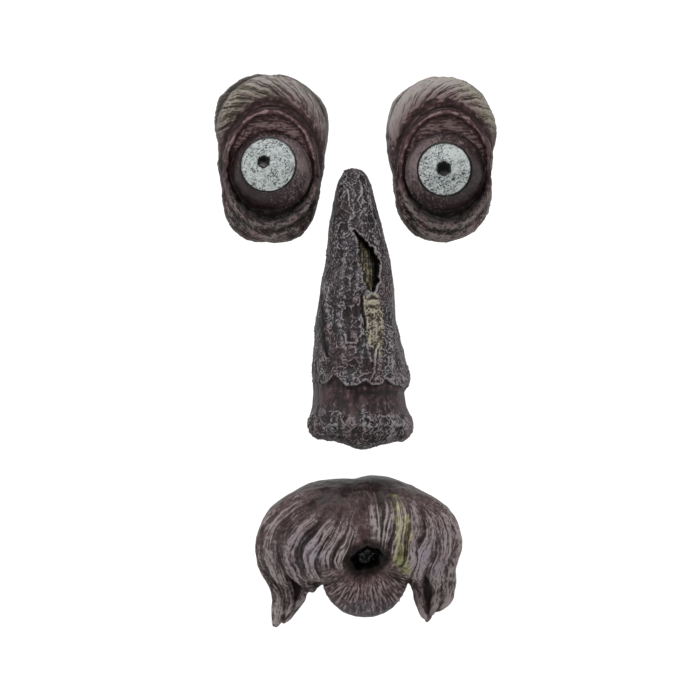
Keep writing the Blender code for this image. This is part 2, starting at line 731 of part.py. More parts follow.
def model_mouth(collection, cutters):
    middle = (-MOUTH_OFFSET, 0, -NOSE_HEIGHT / 2 - MOUTH_GAP - MOUTH_HEIGHT / 2)
    mouth = Casting(middle, MOUTH_WIDTH, MOUTH_DEPTH, MOUTH_HEIGHT)
    mouth.shaped(dome(mouth, MOUTH_OUTLINE, MOUTH_MASS_DEPTH, MOUTH_EDGE_SHARPNESS))
    mouth.ball((3.1, 22, -18.5), (MOUTH_WIDTH * 0.206, MOUTH_DEPTH * 0.66, MOUTH_HEIGHT * 0.253))
    mouth.ball((3.4, 42, -21), (MOUTH_WIDTH * 0.17, MOUTH_DEPTH * 0.48, MOUTH_HEIGHT * 0.16))
    paths = []
    for lock in LOCKS:
        path = []
        for x, z, radius in lock:
            thickness = radius / 1000
            surface = MOUTH_DEPTH * MOUTH_MASS_DEPTH / 100
            surface *= dome_share(MOUTH_OUTLINE, MOUTH_EDGE_SHARPNESS, x, z)
            depth = max(surface - LOCK_SUNK * thickness, LOCK_LIFT * thickness)
            path.append((x, 100 * depth / MOUTH_DEPTH, z, thickness))
        paths.append(path)
    for rolls, stand in ((WEBS, WEB_STAND), (TIP_EDGES, TIP_EDGE_STAND)):
        share = 100 * stand / MOUTH_DEPTH
        paths += [[(x, share, z, radius / 1000) for x, z, radius in roll] for roll in rolls]
    mouth.rolls(paths)
    hole, lip = mouth.at(3.8, 0, -3.0), mouth.at(3, 0, -12)
    nail = nail_cutter("mouth_nail_hole", mouth.at(0, 0, MOUTH_NAIL_HEIGHT), cutters)
    back = trunk_cutter("mouth_back_cut", mouth, cutters)
    skin = resin("moustache_resin", (0.11, 0.088, 0.09), 0.58)
    return mouth.fired("mouth", carve_mouth(mouth, hole, lip), skin, collection, [back, nail])


def main():
    remove_everything()
    castings = new_collection("tree_face")
    cutters = new_collection("cutters")
    model_nose(castings, cutters)
    for name, eye in EYES.items():
        model_eye(name, eye, castings, cutters)
    model_mouth(castings, cutters)


main()
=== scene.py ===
import math

import bmesh
import bpy
import numpy as np
from mathutils import Matrix, Vector, noise


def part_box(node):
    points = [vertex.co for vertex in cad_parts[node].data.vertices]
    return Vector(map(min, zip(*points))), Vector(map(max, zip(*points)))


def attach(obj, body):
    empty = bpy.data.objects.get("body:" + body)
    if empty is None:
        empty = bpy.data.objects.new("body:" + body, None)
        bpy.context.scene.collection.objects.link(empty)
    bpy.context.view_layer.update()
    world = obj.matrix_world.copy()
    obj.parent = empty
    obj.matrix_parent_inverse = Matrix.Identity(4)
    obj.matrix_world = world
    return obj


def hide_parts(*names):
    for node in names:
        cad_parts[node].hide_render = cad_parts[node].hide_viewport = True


# Tree face in four resin castings, painted as bark, skin and hair. Each fine piece takes its node's place

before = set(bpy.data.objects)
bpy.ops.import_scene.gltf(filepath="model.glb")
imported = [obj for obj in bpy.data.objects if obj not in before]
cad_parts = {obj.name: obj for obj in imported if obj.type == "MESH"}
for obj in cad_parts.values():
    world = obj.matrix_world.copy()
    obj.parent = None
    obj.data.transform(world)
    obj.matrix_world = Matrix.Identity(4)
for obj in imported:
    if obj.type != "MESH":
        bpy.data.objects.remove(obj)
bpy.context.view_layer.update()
print("stage: frame loaded")


# Camera, ground and light

view = {
    "frameWidth": 0.448,  # metres across the picture at the castings
    "distance": 1.6,
    "middleX": -0.00672,
    "middleZ": -0.0269,
    "sensor": 36.0,  # mm
    "castingFront": 0.014,  # how far before the backs the outlines lie
}
stage = {
    "floorHeight": -0.85,
    "floorSize": 7.0,
    "paper": ("#efeeec", "#f4f3f1"),
    "skyFront": 0.16,  # light from the camera's side
    "skyBack": 1.10,  # light from behind the face, which is also the white ground of the picture
    "lights": (  # name, place, width and height in metres, watts
        ("top_light", (-0.15, -0.75, 0.95), (0.8, 0.5), 10.0),
        ("left_light", (-1.1, -0.45, 0.25), (0.4, 0.9), 2.6),
        ("right_light", (1.1, -0.45, 0.25), (0.4, 0.9), 2.6),
    ),
}


# An sRGB hex colour as linear red, green, blue and alpha
def linear(colour):
    channels = [int(colour[k : k + 2], 16) / 255 for k in (1, 3, 5)]
    return (*[c / 12.92 if c < 0.04045 else ((c + 0.055) / 1.055) ** 2.4 for c in channels], 1.0)


def addNode(tree, kind, values=None, links=None, **settings):
    node = tree.nodes.new(kind)
    for key, value in settings.items():
        setattr(node, key, value)
    for key, value in (values or {}).items():
        node.inputs[key].default_value = value
    for key, source in (links or {}).items():
        tree.links.new(source, node.inputs[key])
    return node


def newMaterial(name):
    material = bpy.data.materials.new(name)
    material.use_nodes = True
    return material, material.node_tree, material.node_tree.nodes["Principled BSDF"]


def makeCamera():
    data = bpy.data.cameras.new("camera")
    data.sensor_width = view["sensor"]
    data.lens = view["sensor"] * view["distance"] / view["frameWidth"]
    data.clip_end = 20
    camera = bpy.data.objects.new("camera", data)
    bpy.context.scene.collection.objects.link(camera)
    camera.location = (view["middleX"], -view["distance"] - view["castingFront"], view["middleZ"])
    camera.rotation_euler = (math.pi / 2, 0, 0)
    bpy.context.scene.camera = camera


def makeGround():
    shape = bmesh.new()
    bmesh.ops.create_grid(shape, x_segments=8, y_segments=8, size=stage["floorSize"] / 2)
    mesh = bpy.data.meshes.new("paper_floor")
    shape.to_mesh(mesh)
    shape.free()
    floor = bpy.data.objects.new("paper_floor", mesh)
    bpy.context.scene.collection.objects.link(floor)
    floor.location = (0, 0, stage["floorHeight"])
    paper, tree, shader = newMaterial("matt_paper")  # rolled studio paper: no gloss, faint mottle
    fibre = addNode(tree, "ShaderNodeTexNoise", {"Scale": 6.0, "Detail": 3.0})
    tone = addNode(tree, "ShaderNodeValToRGB", links={"Fac": fibre.outputs["Fac"]})
    for element, colour in zip(tone.color_ramp.elements, stage["paper"]):
        element.color = linear(colour)
    tree.links.new(tone.outputs["Color"], shader.inputs["Base Color"])
    shader.inputs["Roughness"].default_value = 0.9
    mesh.materials.append(paper)


# A rectangular light that points at the middle of the face
def areaLight(name, place, size, power):
    data = bpy.data.lights.new(name, "AREA")
    data.shape = "RECTANGLE"
    data.size, data.size_y = size
    data.energy = power
    light = bpy.data.objects.new(name, data)
    bpy.context.scene.collection.objects.link(light)
    light.location = place
    light.rotation_euler = (-Vector(place)).to_track_quat("-Z", "Y").to_euler()


def makeLight():
    world = bpy.data.worlds.new("white_tent")
    world.use_nodes = True
    bpy.context.scene.world = world
    tree = world.node_tree
    place = addNode(tree, "ShaderNodeTexCoord")
    split = addNode(tree, "ShaderNodeSeparateXYZ", links={"Vector": place.outputs["Generated"]})
    strength = addNode(
        tree,
        "ShaderNodeMapRange",
        {"From Min": -0.9, "From Max": 0.9, "To Min": stage["skyFront"], "To Max": stage["skyBack"]},
        {"Value": split.outputs["Y"]},
    )
    ground = tree.nodes["Background"]
    ground.inputs["Color"].default_value = (1, 1, 1, 1)
    tree.links.new(strength.outputs["Result"], ground.inputs["Strength"])
    for light in stage["lights"]:
        areaLight(*light)


makeCamera()
makeGround()
makeLight()
bpy.context.scene.view_settings.view_transform = "Standard"
print("stage: camera, ground and light")


# Clay. A piece's points are (x, z) or (x, y, z) in hundredths of its width, depth and height

# A casting's size and the middle of its outline, from its node
def pieceFrom(node, side=1):
    low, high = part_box(node)
    size = high - low
    middle = Vector(((low.x + high.x) / 2, 0, (low.z + high.z) / 2))
    return {"node": node, "middle": middle, "width": size.x, "depth": size.y, "height": size.z, "side": side}


def placeAt(piece, x, y, z):
    share = Vector((piece["side"] * x * piece["width"], -y * piece["depth"], z * piece["height"])) / 100
    return piece["middle"] + share


# A path of (x, z, value in millimetres), from hundredths to metres beside the piece's middle
def metres(piece, path):
    width, height = piece["side"] * piece["width"] / 100, piece["height"] / 100
    return [(x * width, z * height, value / 1000) for x, z, value in path]


def addBall(clay, centre, radii):
    place = Matrix.Translation(centre) @ Matrix.Diagonal((*radii, 1))
    bmesh.ops.create_uvsphere(clay, u_segments=64, v_segments=40, radius=1, matrix=place)


# Balls at (x, y, z), with radii as shares of the piece's width, depth and height
def addPads(clay, piece, pads):
    for x, y, z, wide, deep, tall in pads:
        radii = (piece["width"] * wide, piece["depth"] * deep, piece["height"] * tall)
        addBall(clay, placeAt(piece, x, y, z), radii)


# A sphere whose every vertex goes where form(its direction) says
def addShaped(clay, form, segments, rings):
    made = bmesh.ops.create_uvsphere(clay, u_segments=segments, v_segments=rings, radius=1)
    for vertex in made["verts"]:
        vertex.co = form(vertex.co.copy())


# Tapered rolls of clay. A path is a list of (x, y, z, radius in metres)
def addRolls(clay, piece, paths):
    data = bpy.data.curves.new("rolls", "CURVE")
    data.dimensions = "3D"
    data.bevel_depth = 1.0
    data.bevel_resolution = 6
    data.resolution_u = 12
    data.use_fill_caps = True
    for path in paths:
        spline = data.splines.new("BEZIER")
        spline.bezier_points.add(len(path) - 1)
        for point, (x, y, z, radius) in zip(spline.bezier_points, path):
            point.co = placeAt(piece, x, y, z)
            point.radius = radius
            point.handle_left_type = point.handle_right_type = "AUTO"
    curve = bpy.data.objects.new("rolls", data)
    bpy.context.scene.collection.objects.link(curve)
    graph = bpy.context.evaluated_depsgraph_get()
    mesh = bpy.data.meshes.new_from_object(curve.evaluated_get(graph))
    clay.from_mesh(mesh)
    bmesh.ops.remove_doubles(clay, verts=clay.verts, dist=1e-6)
    bpy.data.objects.remove(curve)
    bpy.data.meshes.remove(mesh)


# How far the outline is from its middle at this angle
def outlineRadius(outline, angle):
    corners = np.array(sorted((math.atan2(z, x) % math.tau, math.hypot(x, z)) for x, z in outline))
    angles = np.concatenate([corners[-1:, 0] - math.tau, corners[:, 0], corners[:1, 0] + math.tau])
    radii = np.concatenate([corners[-1:, 1], corners[:, 1], corners[:1, 1]])
    return np.interp(np.mod(angle, math.tau), angles, radii)


# How high the dome over this outline stands at (x, z), as a share of its middle
def domeShare(outline, sharpness, x, z):
    reach = math.hypot(x, z) / outlineRadius(outline, math.atan2(z, x))
    return max(0.0, 1 - reach ** (2 * sharpness)) ** (0.9 / sharpness)


# A form with this outline in its back plane and a rounded front, flatter as it is sharper
def domeForm(piece, outline, depth, sharpness, behind):
    def form(direction):
        angle = math.atan2(direction.z, direction.x)
        fromAxis = math.hypot(direction.x, direction.z)
        reach = outlineRadius(outline, angle) * fromAxis ** (1 / sharpness)
        front = depth * abs(direction.y) ** (1.8 / sharpness)
        place = placeAt(piece, reach * math.cos(angle), front, reach * math.sin(angle))
        if direction.y > 0:
            place.y = behind * direction.y
        return place

    return form


casting = {
    "cell": 0.00062,  # the skin's faces, in metres like the rest
    "behindBack": 0.004,  # how far the clay reaches behind the back before that is pressed flat
    "backDepth": 0.0004,  # what lies nearer to the back than this is left unpainted
    "nailRadius": 0.004,
    "nailDepth": 0.010,
}


# The pressed forms as one skin of small even faces
def fuse(name, clay, cell):
    rough = bpy.data.meshes.new(name + "_clay")
    clay.to_mesh(rough)
    clay.free()
    holder = bpy.data.objects.new(name + "_clay", rough)
    bpy.context.scene.collection.objects.link(holder)
    remesh = holder.modifiers.new("fuse", "REMESH")
    remesh.mode = "VOXEL"
    remesh.voxel_size = cell
    graph = bpy.context.evaluated_depsgraph_get()
    skin = bpy.data.meshes.new_from_object(holder.evaluated_get(graph))
    skin.name = name
    bpy.data.objects.remove(holder)
    bpy.data.meshes.remove(rough)
    return skin


def pointsOf(mesh):
    points = np.empty(len(mesh.vertices) * 3)
    mesh.vertices.foreach_get("co", points)
    return points.reshape(-1, 3)


def normalsOf(mesh):
    normals = np.empty(len(mesh.vertices) * 3)
    mesh.vertex_normals.foreach_get("vector", normals)
    return normals.reshape(-1, 3)


def moveTo(mesh, points):
    mesh.vertices.foreach_set("co", points.astype(np.float32).ravel())
    mesh.update()


# Presses what lies behind the back onto it, sinks the blind nail hole and marks what is left unpainted
def pressBack(mesh, points, nail):
    flat = points.copy()
    flat[:, 1] = np.minimum(flat[:, 1], 0)
    fromNail = np.hypot(points[:, 0] - nail.x, points[:, 2] - nail.z)
    onBack = points[:, 1] > -casting["backDepth"]
    sink = 1 - smoothStep(casting["nailRadius"] - 0.0004, casting["nailRadius"] + 0.0003, fromNail)
    flat[:, 1] -= casting["nailDepth"] * sink * onBack
    moveTo(mesh, flat)
    storeMask(mesh, "unpainted", onBack)


# Averages points with their neighbours passes times over, each time as far as share says
def evened(mesh, points, passes, share=0.6):
    ends = np.empty(len(mesh.edges) * 2, dtype=np.int64)
    mesh.edges.foreach_get("vertices", ends)
    here, there = np.concatenate([ends[::2], ends[1::2]]), np.concatenate([ends[1::2], ends[::2]])
    count = np.maximum(np.bincount(here, minlength=len(points)), 1)
    even = points.copy()
    for _ in range(passes):
        for axis in range(3):
            around = np.bincount(here, weights=even[there, axis], minlength=len(points)) / count
            even[:, axis] += share * (around - even[:, axis])
    return even


# How far each vertex stands proud of its own smoothed surroundings, in metres
def reliefOf(mesh, passes):
    points = pointsOf(mesh)
    return ((points - evened(mesh, points, passes)) * normalsOf(mesh)).sum(1)


# Keeps a 0 to 1 value at each point, which the paint reads by its name
def storeMask(mesh, name, values):
    layer = mesh.attributes.new(name, "FLOAT", "POINT")
    layer.data.foreach_set("value", np.clip(values, 0, 1).astype(np.float32))


# Where each point lies in mm across and along the carving's strokes, for the painter's finest lines
def storeStrokes(mesh, across, along, other):
    strokes = np.stack([across, along, other], axis=1) * 1000
    layer = mesh.attributes.new("strokes", "FLOAT_VECTOR", "POINT")
    layer.data.foreach_set("vector", strokes.astype(np.float32).ravel())


def smoothStep(low, high, value):
    share = np.clip((value - low) / (high - low), 0, 1)
    return share * share * (3 - 2 * share)


# 1 at no distance, falling softly to 0 at width
def bump(distance, width):
    return np.clip(1 - (distance / width) ** 2, 0, 1) ** 2


# Soft noise from about -1 to 1 whose lumps are size metres across, or size on each axis
def lumps(points, size, octaves=2.0, seed=0.0):
    scaled = points / np.asarray(size) + seed
    return np.array([noise.fractal(Vector(p), 1.0, 2.0, octaves) for p in scaled.tolist()])


# Thin crisp lines, 1 on the line, that loop about like veins size metres apart
def threads(points, size, width, octaves=2.0, seed=0.0):
    return np.exp(-((lumps(points, size, octaves, seed) / width) ** 2))


# Cells about size across: how far each point is inside its own, and that cell's level from -1 to 1
def flakes(points, size, seed=0.0):
    gaps = np.empty(len(points))
    levels = np.empty(len(points))
    for k, p in enumerate((points / np.asarray(size) + seed).tolist()):
        distances, centres = noise.voronoi(Vector(p))
        gaps[k] = distances[1] - distances[0]
        levels[k] = noise.cell(centres[0] * 7.3)
    return gaps, levels


# How far each point lies behind the front around it, averaged over reach, in metres
def sunkenness(points, reach):
    cell = 0.0008
    columns = ((points[:, 0] - points[:, 0].min()) / cell).astype(int)
    rows = ((points[:, 2] - points[:, 2].min()) / cell).astype(int)
    front = np.zeros((columns.max() + 1, rows.max() + 1))
    np.maximum.at(front, (columns, rows), -points[:, 1])
    filled = (front > 0).astype(float)
    steps = np.arange(-int(3 * reach / cell), int(3 * reach / cell) + 1)
    kernel = np.exp(-0.5 * (steps * cell / reach) ** 2)
    for axis in (0, 1):
        front = np.apply_along_axis(np.convolve, axis, front, kernel, "same")
        filled = np.apply_along_axis(np.convolve, axis, filled, kernel, "same")
    return (front / np.maximum(filled, 1e-9))[columns, rows] + points[:, 1]


# A path's points with steps points on a smooth curve between each two
def rounded(path, steps=5):
    path = np.array(path, float)
    padded = np.concatenate([2 * path[:1] - path[1:2], path, 2 * path[-1:] - path[-2:-1]])
    points = []
    for before, start, end, after in zip(padded, padded[1:], padded[2:], padded[3:]):
        for t in np.arange(steps) / steps:
            points.append(
                start
                + 0.5 * t * (end - before)
                + t * t * (before - 2.5 * start + 2 * end - 0.5 * after)
                + t * t * t * (1.5 * (start - end) + 0.5 * (after - before))
            )
    return np.array(points + [path[-1]])


# How far each point is from a path of (x, z, value), on which side, and the value beside it
def pathDistance(x, z, path):
    path = np.asarray(path, float)
    nearest = np.full(len(x), np.inf)
    value = np.zeros(len(x))
    side = np.ones(len(x))
    for (ax, az, av), (bx, bz, bv) in zip(path[:-1], path[1:]):
        dx, dz = bx - ax, bz - az
        along = np.clip(((x - ax) * dx + (z - az) * dz) / (dx * dx + dz * dz), 0, 1)
        ox, oz = x - ax - along * dx, z - az - along * dz
        distance = np.hypot(ox, oz)
        closer = distance < nearest
        nearest = np.where(closer, distance, nearest)
        value = np.where(closer, av + along * (bv - av), value)
        side = np.where(closer, np.sign(dx * oz - dz * ox), side)
    return nearest, value, side


def finishPiece(mesh, piece, material):
    made = bpy.data.objects.new("fine_" + piece["node"], mesh)
    bpy.context.scene.collection.objects.link(made)
    mesh.materials.append(material)
    for polygon in mesh.polygons:
        polygon.use_smooth = True
    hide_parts(piece["node"])
    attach(made, "root")
    print("stage:", piece["node"], len(mesh.vertices), "points")


# Paint. The castings are stone-filled polyester resin from a mould: dull and faintly gritty, with no sharp
# highlights. A dark wash fills the hollows and a dry brush leaves the crests pale; painted shade darkens the
# recesses further. Only the eyeballs and the mouth hole are varnished, and the backs are sprayed plain

resin = {
    "ior": 1.46,
    "shine": 0.32,  # pigment lies dry on the resin
    "shadedShine": 0.06,  # in the hollows, where the painted shade lies, so it stays dark
    "varnishShine": 0.7,
    "varnishRoughness": 0.12,
    "back": "#3b3534",
    "backShine": 0.3,
    "backRoughness": 0.7,
}


# Lays one colour output over another by a 0 to 1 output
def mixIn(tree, cover, under, over):
    mix = addNode(tree, "ShaderNodeMix", data_type="RGBA")
    for socket, source in ((mix.inputs["Factor"], cover), (mix.inputs[6], under), (mix.inputs[7], over)):
        tree.links.new(source, socket)
    return mix.outputs[2]


def flatColour(tree, colour):
    node = addNode(tree, "ShaderNodeRGB")
    node.outputs["Color"].default_value = linear(colour)
    return node.outputs["Color"]


# Maps an output from low..high to toLow..toHigh
def spread(tree, value, low, high, toLow=0.0, toHigh=1.0, curve="SMOOTHSTEP"):
    limits = {"From Min": low, "From Max": high, "To Min": toLow, "To Max": toHigh}
    node = addNode(tree, "ShaderNodeMapRange", limits, {"Value": value}, interpolation_type=curve)
    return node.outputs["Result"]


def plus(tree, one, other):
    return addNode(tree, "ShaderNodeMath", operation="ADD", links={0: one, 1: other}).outputs["Value"]


# Resin painted in washes: each tint lies over the last as (mask, wash, body and brush colours)
def castResin(name, paint):
    material, tree, shader = newMaterial(name)
    place = addNode(tree, "ShaderNodeTexCoord").outputs["Object"]

    def mask(attribute):
        return addNode(tree, "ShaderNodeAttribute", attribute_name=attribute).outputs["Fac"]

    def mottle(size, detail):  # soft noise, size in mm
        values = {"Scale": 1000 / size, "Detail": detail, "Roughness": 0.6}
        return addNode(tree, "ShaderNodeTexNoise", values, {"Vector": place}).outputs["Fac"]

    def towards(value, cover, end):  # takes a value to its end as far as cover says
        node = addNode(tree, "ShaderNodeMix", {"B": end}, {"Factor": cover, "A": value}, data_type="FLOAT")
        return node.outputs["Result"]

    # sand in the resin, coarser than the real 0.3 mm so that it shows, and cloudy washes
    grit = mottle(paint["gritSize"], 4.0)
    patches = mottle(paint["patchSize"], 3.0)
    ragged = spread(tree, grit, 0.25, 0.75, -paint["ragged"], paint["ragged"], "LINEAR")
    cloudy = spread(tree, patches, 0.3, 0.7, -paint["cloudy"], paint["cloudy"], "LINEAR")

    # hairs of the brush: broad fibres, and thin lines where a slower noise passes through its middle
    strokes = addNode(tree, "ShaderNodeAttribute", attribute_name="strokes").outputs["Vector"]
    values = {"Scale": 1 / paint["strokeWidth"], "Detail": 2.0, "Roughness": 0.6}
    fibres = addNode(tree, "ShaderNodeTexNoise", values, {"Vector": strokes}).outputs["Fac"]
    values = {"Scale": 0.45 / paint["strokeWidth"], "Detail": 3.0, "Roughness": 0.7, "Distortion": 0.3}
    veined = addNode(tree, "ShaderNodeTexNoise", values, {"Vector": strokes}).outputs["Fac"]
    middle = {1: 0.5, 2: 0.010}
    line = addNode(tree, "ShaderNodeMath", middle, {0: veined}, operation="COMPARE").outputs["Value"]
    brushed = spread(tree, fibres, 0.3, 0.7, -paint["strokes"], paint["strokes"], "LINEAR")
    brushed = plus(tree, brushed, spread(tree, line, 0, 1, 0, paint["lines"], "LINEAR"))
    links = {0: brushed, 1: spread(tree, mask("calm"), 0, 1, 1, 0, "LINEAR")}
    brushed = addNode(tree, "ShaderNodeMath", links=links, operation="MULTIPLY").outputs["Value"]

    # how pale each point is painted, and its colour by that share
    share = plus(tree, plus(tree, plus(tree, mask("brushAndLight"), ragged), cloudy), brushed)
    layers = [flatColour(tree, paint[key]) for key in ("wash", "body", "brush")]
    blotches = spread(tree, mottle(paint["patchSize"] * 0.7, 2.0), 0.42, 0.62)
    layers[1] = mixIn(tree, blotches, layers[1], flatColour(tree, paint["bodyToo"]))
    for attribute, *tints in paint["tints"]:
        cover = mask(attribute)
        layers = [mixIn(tree, cover, layer, flatColour(tree, tint)) for layer, tint in zip(layers, tints)]
    colour = mixIn(tree, spread(tree, share, *paint["washRange"]), layers[0], layers[1])
    colour = mixIn(tree, spread(tree, share, *paint["brushRange"]), colour, layers[2])
    # painted shade: the shade mask lays a near-black over the recesses and gaps where shade falls
    colour = mixIn(tree, mask("shade"), colour, flatColour(tree, paint["shadeColour"]))
    bare = mask("unpainted")
    colour = mixIn(tree, bare, colour, flatColour(tree, resin["back"]))
    tree.links.new(colour, shader.inputs["Base Color"])

    # pigment is duller than the washed resin, varnish glossy
    dull = spread(tree, share, 0.2, 0.9, paint["washRoughness"], paint["brushRoughness"], "LINEAR")
    roughness = towards(towards(dull, mask("gloss"), resin["varnishRoughness"]), bare, resin["backRoughness"])
    tree.links.new(roughness, shader.inputs["Roughness"])
    height = {"Strength": 0.7, "Distance": paint["gritHeight"] / 1000}
    surface = addNode(tree, "ShaderNodeBump", height, {"Height": plus(tree, grit, fibres)})
    tree.links.new(surface.outputs["Normal"], shader.inputs["Normal"])
    shader.inputs["IOR"].default_value = resin["ior"]
    # less shine where the painted shade lies, so it stays dark
    shine = spread(tree, mask("shade"), 0, 1, resin["shine"], resin["shadedShine"], "LINEAR")
    shine = plus(tree, shine, spread(tree, mask("gloss"), 0.6, 1, 0, resin["varnishShine"], "LINEAR"))
    tree.links.new(towards(shine, bare, resin["backShine"]), shader.inputs["Specular IOR Level"])
    return material


# The nose: a long cone of split bark that ends in two wings and a tip

nose = {
    # share of the height from the top, left and right edge, and depth, in hundredths
    "stations": (
        (0, -16, 4, 14), (2.8, -18.5, 6.5, 24), (5.7, -22, 10, 32), (8.5, -24, 12, 38),
        (14, -26.5, 15.5, 44), (20, -29.5, 20, 50), (34, -33, 28.5, 60), (43, -38, 32, 68),
        (54, -42.5, 33.5, 75), (62, -43.5, 38, 81), (71, -46, 44.5, 88), (75, -45.5, 47, 93),
        (77.5, -45.5, 46, 94), (80, -45, 41.5, 93), (85, -46, 43.5, 96), (88, -48, 47, 100),
        (91, -49.5, 50, 100), (94.5, -48.5, 49, 92), (96.2, -40, 44, 84), (97.2, -25, 38, 78),
        (98.5, -14, 21, 68), (100, -4, 8, 54),
    ),
    "topRound": 0.03,
    "footRound": 0.012,
    "barkEdge": (
        (-60, -26.6), (-44.5, -26.6), (-32, -26.6), (-24.5, -23.8), (-18.5, -25.7), (-14.5, -28), (-3.5, -27),
        (5, -25.7), (10.5, -27.3), (20.5, -26.8), (24.5, -24.6), (29.5, -26.8), (39.5, -28.2), (60, -28.2),
    ),
    "barkThickness": 0.0026,
    # split, crack and groove as (x, z, half width in mm)
    "hollow": (
        (-6.5, 27, 0.5), (-2, 25, 1.0), (1.2, 23, 3.0), (4.4, 20, 4.6), (8.4, 15.2, 6.0), (9.6, 9.5, 4.8),
        (9.8, 7.4, 3.6),
    ),
    "hollowDepth": 0.0085,
    "strip": ((10.5, 2.0, 5.6), (12, -5, 6.4), (14, -12, 5.0), (16, -16, 2.6)),
    "crack": ((0.5, 4, 0.6), (0.8, 0, 1.4), (3.6, -4.5, 1.2), (4.4, -8, 0.5)),
    "flank": ((-37, 6, 0.8), (-34, -3, 1.6), (-33.5, -12, 1.8), (-31, -17, 0.8)),
    "veins": (
        ((-1.4, 47, 0.6), (0.5, 43.6, 0.9), (0.5, 40, 0.9), (-2.3, 38, 0.8), (0.5, 35.5, 0.6)),
        ((-13.6, 41.8, 0.6), (-9.8, 37.2, 0.8)),
        ((16.4, -13, 0.9), (12.6, -17, 1.1), (12.6, -22.7, 1.1), (8.9, -25.5, 0.8)),
        ((-14.5, -9.6, 0.8), (-14.5, -12.4, 0.9), (-4.2, -12.4, 0.8)),
    ),
    "knob": (10.7, 1.8, 0.0052),
    # heights and depths of the carving, in metres
    "relief": {
        "flakeEdge": 0.00070, "flakeLevel": 0.00045, "thread": 0.00048, "fineThread": 0.00028, "fold": 0.0014,
        "fineFold": 0.0007, "vein": 0.0007, "hollowLip": 0.0008, "knob": 0.0016, "crack": 0.0015,
        "flank": 0.0028, "woodGrain": 0.0006,
    },
    "flake": (0.0055, 0.0055, 0.0085),  # flakes of bark, metres across, like the next two
    "threadSize": (0.0048, 0.0022),
    "folds": (0.007, 0.010, 0.034),
    "nail": (-5, 28),
    "wing": 0.13,  # radius as a share of the width
    "wings": ((-36.5, 34, -41.0, 0.34, 1.15), (36.5, 34, -41.5, 0.36, 1.20)),  # place, depth and height
    "tip": ((2, 50, -39.0, 0.27, 0.50, 0.105),),
    "paint": {
        "shadeColour": "#080605", "wash": "#161112", "body": "#3d3536", "bodyToo": "#403d42", "brush": "#8d878a",
        "tints": (
            ("reddish", "#191112", "#403031", "#7d7072"),
            ("band", "#201415", "#432f31", "#64555a"),
            ("hollow", "#15110b", "#4c4534", "#938c72"),
            ("strip", "#2c2821", "#665f4f", "#a8a290"),
        ),
        "gritSize": 0.9, "patchSize": 14, "ragged": 0.16, "cloudy": 0.12,
        "strokeWidth": 1.1, "strokes": 0.34, "lines": 0.12,
        "washRange": (0.24, 0.58), "brushRange": (0.58, 1.00),
        "washRoughness": 0.50, "brushRoughness": 0.78, "gritHeight": 0.25,
    },
}


def noseForm(piece):
    stations = np.array(nose["stations"], float)

    def form(direction):
        share = (1 - direction.z) / 2
        left, right, depth = (np.interp(100 * share, stations[:, 0], stations[:, k]) for k in (1, 2, 3))
        closing = min(1.0, share / nose["topRound"], (1 - share) / nose["footRound"])
        closing = math.sqrt(max(0.0, 1 - (1 - closing) ** 2))
        around = math.atan2(direction.y, direction.x)
        middle, half = (left + right) / 2, (right - left) / 2
        across = math.copysign(abs(math.cos(around)) ** 0.85, math.cos(around))
        forward = abs(math.sin(around)) ** 0.9
        place = placeAt(piece, middle + half * across * closing, depth * forward * closing, 50 - 100 * share)
        if direction.y > 0:
            place.y = casting["behindBack"] * forward * closing
        return place

    return form


